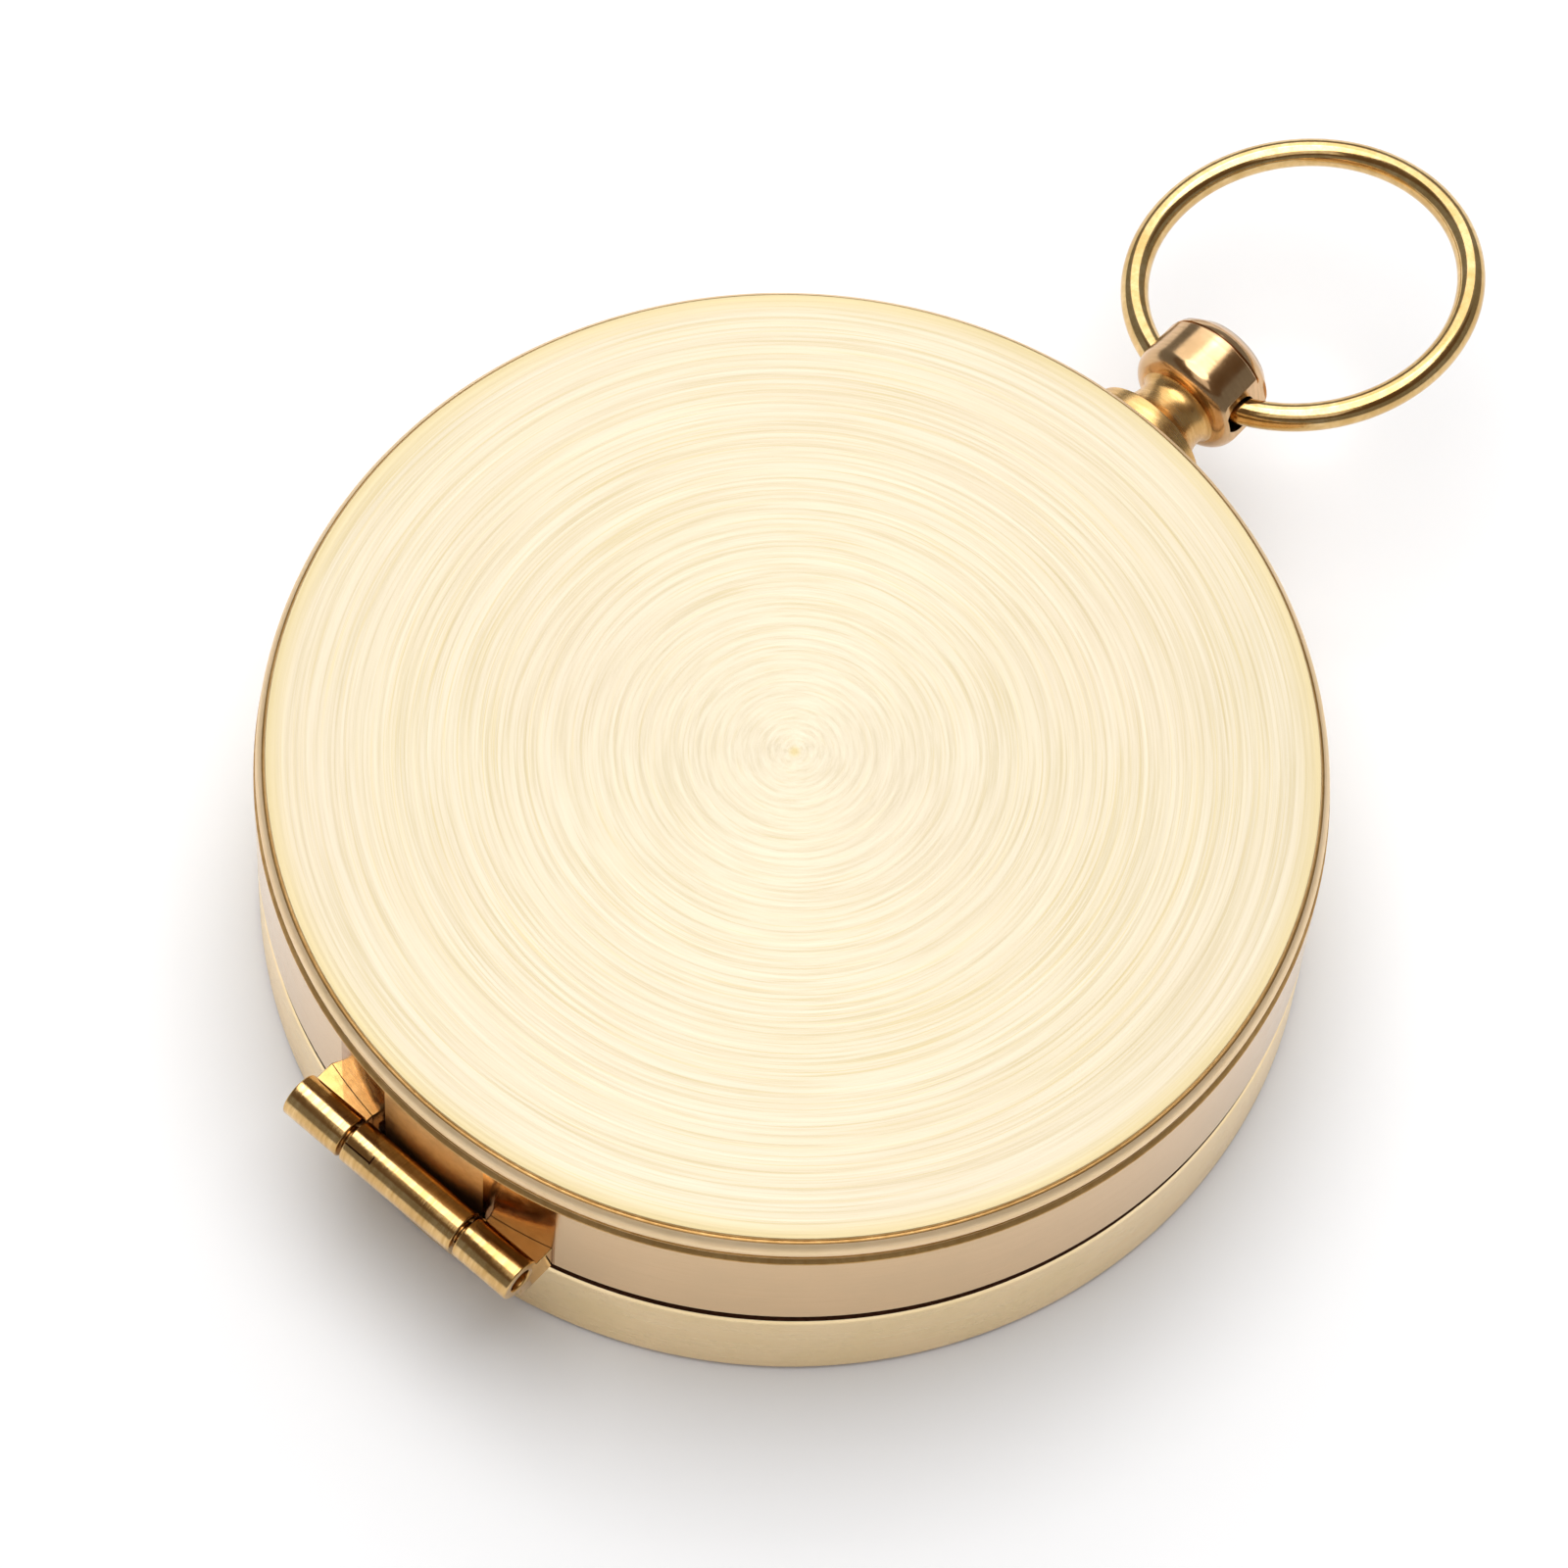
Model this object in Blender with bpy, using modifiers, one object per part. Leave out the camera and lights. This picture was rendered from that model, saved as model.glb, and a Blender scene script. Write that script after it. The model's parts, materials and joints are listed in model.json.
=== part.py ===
"""Pocket sundial: a round hinged brass case with a pendant and bow, holding a compass and a folding gnomon.

The case stands on its flat base at z = 0. +Z is up, the hinge is at -Y and the pendant at +Y.
Sizes and places are in millimetres; MM turns them into metres where an object is made.
"""

from math import asin, cos, pi, radians, sin, tan

import bmesh
import bpy
from mathutils import Matrix, Vector

MM = 0.001
CASE_STEPS = 72
SMALL_STEPS = 24

# Clearances between pieces
SEAT_GAP = 0.05
SADDLE_GAP = 0.02
SCREW_GAP = 0.06

# Case: the base is a cup with a ledge inside, the lid a cap with a bead round its face
CASE_R = 25.0
CASE_H = 14.1
BASE_TOP = 5.85
LID_BOTTOM = BASE_TOP + 0.25
LID_INNER_R = CASE_R - 1.0
LID_CEILING = CASE_H - 1.0
SHOULDER_Z = 12.7
SHOULDER_R = 0.25
FACE_R = 24.5
BEAD_R = 0.68
BEAD_CENTRE = (24.22, 13.28)
FLOOR_Z = 1.0
FLOOR_SOCKET_Z = 0.4
BOWL_R = 17.8
LEDGE_Z = 4.45
RECESS_R = 22.95
FOOT_ROUND = 0.4
RIM_ROUND = 0.45
LIP_ROUND = 0.2

# Hinge: two knuckles on the lid, one on the base, one pin
HINGE_Y = -26.2
HINGE_Z = 8.15
KNUCKLE_R = 1.1
HINGE_HALF = 6.9
CENTRE_HALF = 3.4
KNUCKLE_GAP = 0.22
LUG_TOP = HINGE_Z - 0.06
LUG_INSET = 0.1
LEAF_BOTTOM = 4.2
PIN_R = 0.55
PIN_RECESS = 0.8
PIN_TIGHT = 0.02
PIN_RUNNING = 0.06

# Pendant and bow
PENDANT_Z = 10.0
PENDANT_TURN = radians(12.0)
HEAD_R = 3.0
HEAD_NEAR = 28.95
HEAD_FAR = 31.35
DOME_TOP = 32.42
NECK_R = 1.88
FOOT_R = 3.1
FLAT_HALF = 2.7
HOLE_Y = 29.56
HOLE_R = 0.98
SHANK_R = 1.0
SHANK_END = 22.2
NUT_R = 2.2
NUT_NEAR = 22.6
NUT_FAR = LID_INNER_R - 0.25
BOW_R = 8.17
BOW_WIRE_R = 0.685
BOW_CENTRE_Y = 37.5
BOW_SPLIT = 0.1

# Compass
CARD_R = 17.6
CARD_Z = FLOOR_Z + SEAT_GAP
CARD_TOP = CARD_Z + 0.25
BOWL_RING_R = 17.7
BOWL_RING_INNER = 16.2
BOWL_RING_TOP = 3.35
GLASS_R = 17.6
GLASS_Z = BOWL_RING_TOP + SEAT_GAP
GLASS_TOP = GLASS_Z + 0.8
GASKET_INNER = 16.6
GASKET_Z = GLASS_TOP + 0.04
GASKET_TOP = GASKET_Z + 0.2
BOSS_R = 1.5
BOSS_SHANK_R = 0.8
BOSS_TOP = 1.9
PIVOT_R = 0.3
PIVOT_FOOT = 1.15
PIVOT_TIP = 2.8
NEEDLE_HALF = 14.6
NEEDLE_WIDE = 1.25
NEEDLE_Z = 2.45
NEEDLE_THICK = 0.25
CAP_R = 0.8
CAP_FLANGE_R = 1.2
CAP_TOP = 3.12

# Hour ring and its screws
DIAL_R = 22.8
DIAL_INNER = 16.4
DIAL_Z = 4.5
DIAL_TOP = 5.9
DIAL_CHAMFER = 0.5
SCREW_RING_R = 20.6
SCREW_ANGLES = (40, 140, 217, 323)
SCREW_SEAT = DIAL_TOP - 0.7
SCREW_HEAD_R = 1.5
SCREW_R = 0.8
SCREW_END = 2.6

# Gnomon: a plate on a rod between two lugs on the hour ring, lying flat towards +X
LATITUDE = 45.0
PINTLE_Z = 6.9
ROD_R = 0.6
PINTLE_R = 0.4
ROD_HALF = 16.5
PINTLE_HALF = 17.9
LUG_NEAR = 16.7
LUG_FAR = 18.1
LUG_HALF = 1.3
LUG_CREST = 7.9
LUG_SHANK_R = 0.5
STYLE_FOOT = -15.2
STYLE_HEIGHT = 13.0
PLATE_THICK = 0.8
SPRING_R = 0.86
SPRING_WIRE_R = 0.12
SPRING_Y = 12.7
SPRING_TURNS = 4
SPRING_PITCH = 0.42
SPRING_LEG = 8.0


def clear_scene():
    for item in list(bpy.data.objects):
        bpy.data.objects.remove(item, do_unlink=True)


def collection(name):
    found = bpy.data.collections.new(name)
    bpy.context.scene.collection.children.link(found)
    return found


def material(name, colour, metallic, roughness, alpha=1.0):
    made = bpy.data.materials.new(name)
    made.use_nodes = True
    shader = made.node_tree.nodes["Principled BSDF"]
    shader.inputs["Base Color"].default_value = (*colour, 1.0)
    shader.inputs["Metallic"].default_value = metallic
    shader.inputs["Roughness"].default_value = roughness
    shader.inputs["Alpha"].default_value = alpha
    return made


# Shapes. A piece with no material is a tool: it cuts or joins a part and is not one itself.

def place(name, data, mat, at=(0, 0, 0), turn=(0, 0, 0)):
    made = bpy.data.objects.new(name, data)
    made.location = Vector(at) * MM
    made.rotation_euler = turn
    if mat:
        data.materials.append(mat)
        PARTS.objects.link(made)
    else:
        made.hide_render = True
        made.display_type = "WIRE"
        TOOLS.objects.link(made)
    return made


def turned(name, profile, mat=None, steps=SMALL_STEPS, closed=False, at=(0, 0, 0), turn=(0, 0, 0)):
    """A profile of (radius, height) points, down the outer side, turned about its own Z axis."""
    mesh = bpy.data.meshes.new(name)
    verts = [(r * MM, 0.0, z * MM) for r, z in profile]
    edges = [(i, i + 1) for i in range(len(verts) - 1)]
    if closed:
        edges.append((len(verts) - 1, 0))
    mesh.from_pydata(verts, edges, [])
    made = place(name, mesh, mat, at, turn)
    screw = made.modifiers.new("turn", "SCREW")
    screw.steps = screw.render_steps = steps
    screw.use_merge_vertices = True
    screw.merge_threshold = 0.000002
    return made


def washer(name, inner, outer, low, high, mat, chamfer=0.0):
    """A flat ring, with an optional chamfer round its upper inner edge."""
    profile = [(outer, high), (outer, low), (inner, low)]
    if chamfer:
        profile += [(inner, high - chamfer), (inner + chamfer, high)]
    else:
        profile += [(inner, high)]
    return turned(name, profile, mat, CASE_STEPS, closed=True)


def box(name, low, high, mat=None, at=(0, 0, 0), turn=(0, 0, 0)):
    """A box between two corners, which are measured from a place that it may also be turned about."""
    size = [(b - a) * MM for a, b in zip(low, high)]
    middle = [(a + b) * MM / 2 for a, b in zip(low, high)]
    mesh = bpy.data.meshes.new(name)
    work = bmesh.new()
    where = Matrix.Translation(middle) @ Matrix.Diagonal((*size, 1.0))
    bmesh.ops.create_cube(work, size=1.0, matrix=where)
    work.to_mesh(mesh)
    work.free()
    return place(name, mesh, mat, at, turn)


def rod(name, radius, start, end, mat=None, steps=SMALL_STEPS):
    """A closed cylinder between two points."""
    start, end = Vector(start), Vector(end)
    along = end - start
    mesh = bpy.data.meshes.new(name)
    work = bmesh.new()
    bmesh.ops.create_cone(
        work,
        cap_ends=True,
        segments=steps,
        radius1=radius * MM,
        radius2=radius * MM,
        depth=along.length * MM,
        matrix=along.to_track_quat("Z", "Y").to_matrix().to_4x4(),
    )
    work.to_mesh(mesh)
    work.free()
    mesh.shade_smooth()
    mesh.set_sharp_from_angle(angle=radians(35))
    return place(name, mesh, mat, (start + end) / 2)


def outline(name, points, thickness, mat=None, at=(0, 0, 0), hole=None):
    """A flat plate in the XY plane, from a closed outline and the radius of a hole at its origin."""
    curve = bpy.data.curves.new(name, "CURVE")
    curve.dimensions = "2D"
    curve.fill_mode = "BOTH"
    curve.extrude = thickness * MM / 2
    loops = [points]
    if hole:
        loops.append([polar(hole, 360 * i / SMALL_STEPS) for i in range(SMALL_STEPS)])
    for loop in loops:
        spline = curve.splines.new("POLY")
        spline.points.add(len(loop) - 1)
        for point, (x, y) in zip(spline.points, loop):
            point.co = (x * MM, y * MM, 0.0, 1.0)
        spline.use_cyclic_u = True
    return place(name, curve, mat, at)


def wire(name, points, radius, mat, at, turn=(0, 0, 0)):
    """A round wire along a list of points."""
    curve = bpy.data.curves.new(name, "CURVE")
    curve.dimensions = "3D"
    curve.bevel_depth = radius * MM
    curve.bevel_resolution = 2
    curve.use_fill_caps = True
    spline = curve.splines.new("POLY")
    spline.points.add(len(points) - 1)
    for point, spot in zip(spline.points, points):
        point.co = (*(Vector(spot) * MM), 1.0)
    spline.use_smooth = True
    return place(name, curve, mat, at, turn)


def solid_tool(curve_object):
    """Replaces a curve object by a tool with the welded mesh that it evaluates to."""
    bpy.context.view_layer.update()
    graph = bpy.context.evaluated_depsgraph_get()
    mesh = bpy.data.meshes.new_from_object(curve_object.evaluated_get(graph))
    work = bmesh.new()
    work.from_mesh(mesh)
    bmesh.ops.remove_doubles(work, verts=work.verts, dist=0.000001)
    work.to_mesh(mesh)
    work.free()
    kept = place(curve_object.name + "_solid", mesh, None)
    kept.matrix_world = curve_object.matrix_world.copy()
    bpy.data.objects.remove(curve_object, do_unlink=True)
    return kept


def boolean(made, other, operation):
    step = made.modifiers.new(operation.lower(), "BOOLEAN")
    step.operation = operation
    step.solver = "EXACT"
    step.object = other


def cut(made, other):
    boolean(made, other, "DIFFERENCE")


def join(made, other):
    boolean(made, other, "UNION")


def polar(radius, degrees):
    return radius * cos(radians(degrees)), radius * sin(radians(degrees))


def arc(centre, radius, start, end, count):
    """Points of an arc from one angle to another, in degrees."""
    angles = [start + (end - start) * i / count for i in range(count + 1)]
    return [(centre[0] + polar(radius, a)[0], centre[1] + polar(radius, a)[1]) for a in angles]


# Case

def build_base(brass):
    profile = [
        (0, FLOOR_SOCKET_Z),
        (BOSS_SHANK_R + SEAT_GAP, FLOOR_SOCKET_Z),
        (BOSS_SHANK_R + SEAT_GAP, FLOOR_Z),
        (BOWL_R, FLOOR_Z),
        (BOWL_R, LEDGE_Z),
        (RECESS_R, LEDGE_Z),
        (RECESS_R, BASE_TOP - 0.1),
        (RECESS_R + 0.1, BASE_TOP),
        *arc((CASE_R - RIM_ROUND, BASE_TOP - RIM_ROUND), RIM_ROUND, 90, 0, 3),
        *arc((CASE_R - FOOT_ROUND, FOOT_ROUND), FOOT_ROUND, 0, -90, 3),
        (0, 0),
    ]
    shell = turned("base_shell", profile, brass, CASE_STEPS)
    for angle in SCREW_ANGLES:
        x, y = polar(SCREW_RING_R, angle)
        cut(shell, rod("ledge_hole", SCREW_R + SCREW_GAP, (x, y, SCREW_END - 0.2), (x, y, CASE_H)))


def build_lid(brass):
    profile = [
        (0, CASE_H),
        (FACE_R - 0.08, CASE_H),
        (FACE_R, CASE_H - 0.06),
        *arc(BEAD_CENTRE, BEAD_R, 62, -48, 5),
        (BEAD_CENTRE[0] + BEAD_R * sin(radians(42)), SHOULDER_Z),
        *arc((CASE_R - SHOULDER_R, SHOULDER_Z - SHOULDER_R - 0.05), SHOULDER_R, 70, 0, 3),
        *arc((CASE_R - LIP_ROUND, LID_BOTTOM + LIP_ROUND), LIP_ROUND, 0, -90, 2),
        (LID_INNER_R, LID_BOTTOM),
        *arc((LID_INNER_R - 0.6, LID_CEILING - 0.6), 0.6, 0, 90, 3),
        (0, LID_CEILING),
    ]
    shell = turned("lid_shell", profile, brass, CASE_STEPS)
    cut(shell, pendant_rod("shank_hole", SHANK_R + SCREW_GAP, SHANK_END, CASE_R + 1))


def wall_drum(radius, low, high):
    """A solid drum on the case's axis, to fit a bracket round the wall."""
    return turned("wall", [(0, high), (radius, high), (radius, low), (0, low)], None, CASE_STEPS)


# Hinge

def hinge_rod(name, radius, low, high, mat=None):
    return rod(name, radius, (low, HINGE_Y, HINGE_Z), (high, HINGE_Y, HINGE_Z), mat)


def build_lid_knuckle(name, side, brass):
    """A knuckle on a lug that sits on the lid's wall, from just above the seam to the pin's height."""
    low, high = sorted((side * (CENTRE_HALF + KNUCKLE_GAP), side * HINGE_HALF))
    knuckle = hinge_rod(name, KNUCKLE_R, low, high, brass)
    lug_low = (low + LUG_INSET, HINGE_Y + 0.07, LID_BOTTOM + SEAT_GAP)
    lug_high = (high - LUG_INSET, HINGE_Y + 3.5, LUG_TOP)
    join(knuckle, box("lug", lug_low, lug_high))
    cut(knuckle, wall_drum(CASE_R + SADDLE_GAP, 0, CASE_H))
    cut(knuckle, hinge_rod("bore", PIN_R + PIN_TIGHT, low - 1, high + 1))


def build_base_knuckle(brass):
    """The centre knuckle, on a leaf that slopes in to the base's wall and stands clear of the lid's."""
    knuckle = hinge_rod("base_knuckle", KNUCKLE_R, -CENTRE_HALF, CENTRE_HALF, brass)
    leaf_side = [
        (HINGE_Y - 0.98, HINGE_Z - 0.35),
        (HINGE_Y + 0.35, LEAF_BOTTOM + 0.8),
        (HINGE_Y + 0.85, LEAF_BOTTOM),
        (HINGE_Y + 3.0, LEAF_BOTTOM),
        (HINGE_Y + 3.0, HINGE_Z - 0.6),
    ]
    leaf = outline("leaf", leaf_side, 2 * (CENTRE_HALF - LUG_INSET))
    leaf.rotation_euler = (pi / 2, 0, pi / 2)
    join(knuckle, solid_tool(leaf))
    cut(knuckle, wall_drum(CASE_R + SADDLE_GAP, 0, BASE_TOP + 0.02))
    cut(knuckle, wall_drum(CASE_R + 0.12, BASE_TOP, CASE_H))
    cut(knuckle, hinge_rod("bore", PIN_R + PIN_RUNNING, -HINGE_HALF, HINGE_HALF))


def build_hinge(brass, steel):
    build_lid_knuckle("lid_knuckle_left", -1, brass)
    build_lid_knuckle("lid_knuckle_right", 1, brass)
    build_base_knuckle(brass)
    hinge_rod("hinge_pin", PIN_R, PIN_RECESS - HINGE_HALF, HINGE_HALF - PIN_RECESS, steel)


# Pendant and bow

def pendant_rod(name, radius, near, far, mat=None, steps=SMALL_STEPS):
    return rod(name, radius, (0, near, PENDANT_Z), (0, far, PENDANT_Z), mat, steps)


def build_pendant(brass):
    """A turned post, saddled on the lid's wall, with two flats and a cross hole for the bow."""
    shoulder = HEAD_R - 0.95
    profile = [
        (0, DOME_TOP),
        (0.30 * HEAD_R, DOME_TOP - 0.08),
        (0.57 * HEAD_R, DOME_TOP - 0.32),
        (0.78 * HEAD_R, DOME_TOP - 0.66),
        (0.95 * HEAD_R, HEAD_FAR + 0.06),
        (HEAD_R, HEAD_FAR - 0.04),
        *arc((shoulder, HEAD_NEAR + 0.05), HEAD_R - shoulder, 0, -90, 5),
        *arc((NECK_R + 0.7, 27.25), 0.7, 135, 235, 5),
        (FOOT_R - 0.1, 25.75),
        (FOOT_R, 25.6),
        (FOOT_R, CASE_R - 0.7),
        (0, CASE_R - 0.7),
    ]
    turn = (-pi / 2, -PENDANT_TURN, 0)
    post = turned("pendant_post", profile, brass, 32, at=(0, 0, PENDANT_Z), turn=turn)
    cut(post, wall_drum(CASE_R + SADDLE_GAP, 0, CASE_H + 5))
    join(post, pendant_rod("shank", SHANK_R, SHANK_END, CASE_R + 1.5))
    across = Vector((cos(PENDANT_TURN), 0, sin(PENDANT_TURN)))
    middle = Vector((0, (HEAD_NEAR + HEAD_FAR) / 2, PENDANT_Z))
    for low, high in ((FLAT_HALF, HEAD_R + 1), (-HEAD_R - 1, -FLAT_HALF)):
        flat = ((low, -1.35, -4), (high, 1.25, 4))
        cut(post, box("flat", *flat, at=middle, turn=(0, -PENDANT_TURN, 0)))
    hole = Vector((0, HOLE_Y, PENDANT_Z))
    cut(post, rod("bow_hole", HOLE_R, hole - across * 5, hole + across * 5))


def build_nut(brass):
    nut = pendant_rod("pendant_nut", NUT_R, NUT_NEAR, NUT_FAR, brass, 6)
    cut(nut, pendant_rod("nut_bore", SHANK_R + 0.04, NUT_NEAR - 1, NUT_FAR + 1))


def build_bow(brass):
    """A round wire ring, open by a hair's breadth where its ends meet inside the pendant."""
    split = asin(BOW_SPLIT / BOW_R)
    count = 60
    angles = [split + 2 * (pi - split) * i / count for i in range(count + 1)]
    reach = BOW_CENTRE_Y - HOLE_Y
    points = [(BOW_R * sin(a), reach - BOW_R * cos(a), 0) for a in angles]
    wire("bow_ring", points, BOW_WIRE_R, brass, (0, HOLE_Y, PENDANT_Z), (0, -PENDANT_TURN, 0))


# Compass

def build_bowl(brass, card, glass, leather):
    washer("compass_card", BOSS_R + 0.1, CARD_R, CARD_Z, CARD_TOP, card)
    washer("bowl_ring", BOWL_RING_INNER, BOWL_RING_R, CARD_TOP + SEAT_GAP, BOWL_RING_TOP, brass, 0.5)
    profile = [(0, GLASS_TOP), (GLASS_R, GLASS_TOP), (GLASS_R, GLASS_Z), (0, GLASS_Z)]
    turned("compass_glass", profile, glass, CASE_STEPS)
    washer("glass_gasket", GASKET_INNER, GLASS_R, GASKET_Z, GASKET_TOP, leather)


def build_pivot(brass, steel):
    socket = PIVOT_R + 0.02
    boss = [
        (0, PIVOT_FOOT - SEAT_GAP),
        (socket, PIVOT_FOOT - SEAT_GAP),
        (socket, BOSS_TOP),
        (BOSS_R - 0.3, BOSS_TOP),
        (BOSS_R, BOSS_TOP - 0.25),
        (BOSS_R, CARD_Z),
        (BOSS_SHANK_R, CARD_Z),
        (BOSS_SHANK_R, FLOOR_SOCKET_Z + SEAT_GAP),
        (0, FLOOR_SOCKET_Z + SEAT_GAP),
    ]
    turned("pivot_boss", boss, brass)
    point = [
        (0, PIVOT_TIP),
        (0.2 * PIVOT_R, PIVOT_TIP - 0.1),
        (PIVOT_R, PIVOT_TIP - 0.65),
        (PIVOT_R, PIVOT_FOOT),
        (0, PIVOT_FOOT),
    ]
    turned("needle_pivot", point, steel, 16)


def build_needle(brass, blue):
    tips = [(0, NEEDLE_HALF), (-NEEDLE_WIDE, 0), (0, -NEEDLE_HALF), (NEEDLE_WIDE, 0)]
    middle = (0, 0, NEEDLE_Z + NEEDLE_THICK / 2)
    outline("compass_needle", tips, NEEDLE_THICK, blue, middle, CAP_R + SEAT_GAP)
    flange = NEEDLE_Z + NEEDLE_THICK + 0.03
    mouth = NEEDLE_Z - 0.15
    cap = [
        (0, CAP_TOP),
        (0.45, CAP_TOP - 0.04),
        (0.7, flange + 0.17),
        (CAP_FLANGE_R, flange + 0.15),
        (CAP_FLANGE_R, flange),
        (CAP_R, flange),
        (CAP_R, mouth),
        (CAP_R - 0.25, mouth),
        (0, PIVOT_TIP + 0.06),
    ]
    turned("needle_cap", cap, brass)


# Hour ring

def build_hour_ring(silver):
    dial = washer("hour_ring", DIAL_INNER, DIAL_R, DIAL_Z, DIAL_TOP, silver, DIAL_CHAMFER)
    for y in (-(LUG_NEAR + LUG_FAR) / 2, (LUG_NEAR + LUG_FAR) / 2):
        cut(dial, rod("lug_hole", LUG_SHANK_R + SEAT_GAP, (0, y, 0), (0, y, CASE_H)))
    for angle in SCREW_ANGLES:
        x, y = polar(SCREW_RING_R, angle)
        cut(dial, rod("screw_hole", SCREW_R + SCREW_GAP, (x, y, 0), (x, y, CASE_H)))
        cut(dial, rod("head_hole", SCREW_HEAD_R + 0.08, (x, y, SCREW_SEAT), (x, y, CASE_H)))


def build_screw(name, angle, steel):
    """A slotted screw, its head just below the hour ring's face."""
    top = DIAL_TOP - 0.05
    seat = SCREW_SEAT + 0.03
    profile = [
        (0, top),
        (SCREW_HEAD_R - 0.1, top),
        (SCREW_HEAD_R, top - 0.1),
        (SCREW_HEAD_R, seat),
        (SCREW_R, seat),
        (SCREW_R, SCREW_END),
        (0, SCREW_END),
    ]
    at = (*polar(SCREW_RING_R, angle), 0)
    screw = turned(name, profile, steel, 20, at=at)
    slot = (-3, -0.2, top - 0.3), (3, 0.2, top + 1)
    cut(screw, box("slot", *slot, at=at, turn=(0, 0, radians(2.3 * angle))))


# Gnomon

def build_gnomon_lug(name, side, brass):
    near, far = sorted((side * LUG_NEAR, side * LUG_FAR))
    low, high = (-LUG_HALF, near, DIAL_TOP + SEAT_GAP), (LUG_HALF, far, LUG_CREST)
    lug = box(name, low, high, brass)
    edge = lug.modifiers.new("edge", "BEVEL")
    edge.width = 0.25 * MM
    edge.segments = 2
    middle = (near + far) / 2
    join(lug, rod("shank", LUG_SHANK_R, (0, middle, DIAL_Z + 0.1), (0, middle, DIAL_TOP + 0.4)))
    cut(lug, rod("bore", PINTLE_R + 0.04, (0, near - 1, PINTLE_Z), (0, far + 1, PINTLE_Z)))


def gnomon_outline():
    """The plate lying flat: its height runs along X, and the style rises from the south end."""
    peak = STYLE_FOOT + STYLE_HEIGHT / tan(radians(LATITUDE))
    a, b = Vector((STYLE_HEIGHT, peak)), Vector((0.48 * STYLE_HEIGHT, peak + 0.4))
    c, d = Vector((0.35 * STYLE_HEIGHT, peak + 4.5)), Vector((0.2, peak + 8.6))
    steps = [i / 10 for i in range(11)]
    back = [
        a * (1 - t) ** 3 + b * 3 * t * (1 - t) ** 2 + c * 3 * t * t * (1 - t) + d * t ** 3
        for t in steps
    ]
    return [(0.2, STYLE_FOOT + 0.2), *[(p.x, p.y) for p in back]]


def build_gnomon(brass):
    """The plate and its rod, with the origin on the pintles' axis."""
    ends = (0, -ROD_HALF, PINTLE_Z), (0, ROD_HALF, PINTLE_Z)
    made = rod("gnomon", ROD_R, *ends, brass, 16)
    pintles = (0, -PINTLE_HALF, PINTLE_Z), (0, PINTLE_HALF, PINTLE_Z)
    join(made, rod("pintles", PINTLE_R, *pintles, steps=16))
    join(made, solid_tool(outline("plate", gnomon_outline(), PLATE_THICK, at=(0, 0, PINTLE_Z))))


def build_gnomon_spring(steel):
    """A coil round the gnomon's rod: one leg lies under the plate, the other reaches the north lug."""
    sides = 12
    under = SPRING_WIRE_R - SPRING_R + 0.18
    points = [(SPRING_R, SPRING_Y - SPRING_LEG, under), (SPRING_R, SPRING_Y - 1, under)]
    for i in range(SPRING_TURNS * sides + 1):
        x, z = polar(SPRING_R, 360 * i / sides)
        points.append((x, SPRING_Y + SPRING_PITCH * i / sides, -z))
    points.append((SPRING_R, LUG_NEAR - SPRING_WIRE_R - SEAT_GAP, 0))
    wire("gnomon_spring", points, SPRING_WIRE_R, steel, (0, 0, PINTLE_Z))


def build_all():
    polished = material("polished_brass", (0.72, 0.50, 0.22), 1.0, 0.16)
    brushed = material("brushed_brass", (0.80, 0.62, 0.34), 1.0, 0.34)
    silvered = material("silvered_dial", (0.78, 0.77, 0.72), 0.9, 0.38)
    steel = material("steel", (0.45, 0.45, 0.46), 1.0, 0.3)
    blued = material("blued_steel", (0.03, 0.06, 0.22), 1.0, 0.3)
    card = material("silvered_card", (0.86, 0.82, 0.70), 0.6, 0.5)
    glass = material("glass", (0.95, 0.97, 0.97), 0.0, 0.03, 0.3)
    leather = material("leather", (0.35, 0.22, 0.12), 0.0, 0.9)
    build_base(polished)
    build_lid(brushed)
    build_hinge(polished, steel)
    build_pendant(polished)
    build_nut(polished)
    build_bow(polished)
    build_bowl(polished, card, glass, leather)
    build_pivot(polished, steel)
    build_needle(polished, blued)
    build_hour_ring(silvered)
    for number, angle in enumerate(SCREW_ANGLES, 1):
        build_screw(f"hour_screw_{number}", angle, steel)
    build_gnomon_lug("gnomon_lug_south", -1, polished)
    build_gnomon_lug("gnomon_lug_north", 1, polished)
    build_gnomon(polished)
    build_gnomon_spring(steel)


clear_scene()
PARTS = collection("pocket_sundial")
TOOLS = collection("tools")
build_all()
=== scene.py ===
"""Looks of the pocket sundial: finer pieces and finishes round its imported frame, camera and light.

Sizes and places are in millimetres, and MM turns them into metres where an object is made.
+Z is up, the hinge is at -Y and the pendant at +Y, which is also the dial's north.
"""

import json
from math import asin, atan2, cos, degrees, hypot, pi, radians, sin, sqrt, tan

import bmesh
import bpy
from mathutils import Matrix, Vector


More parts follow.
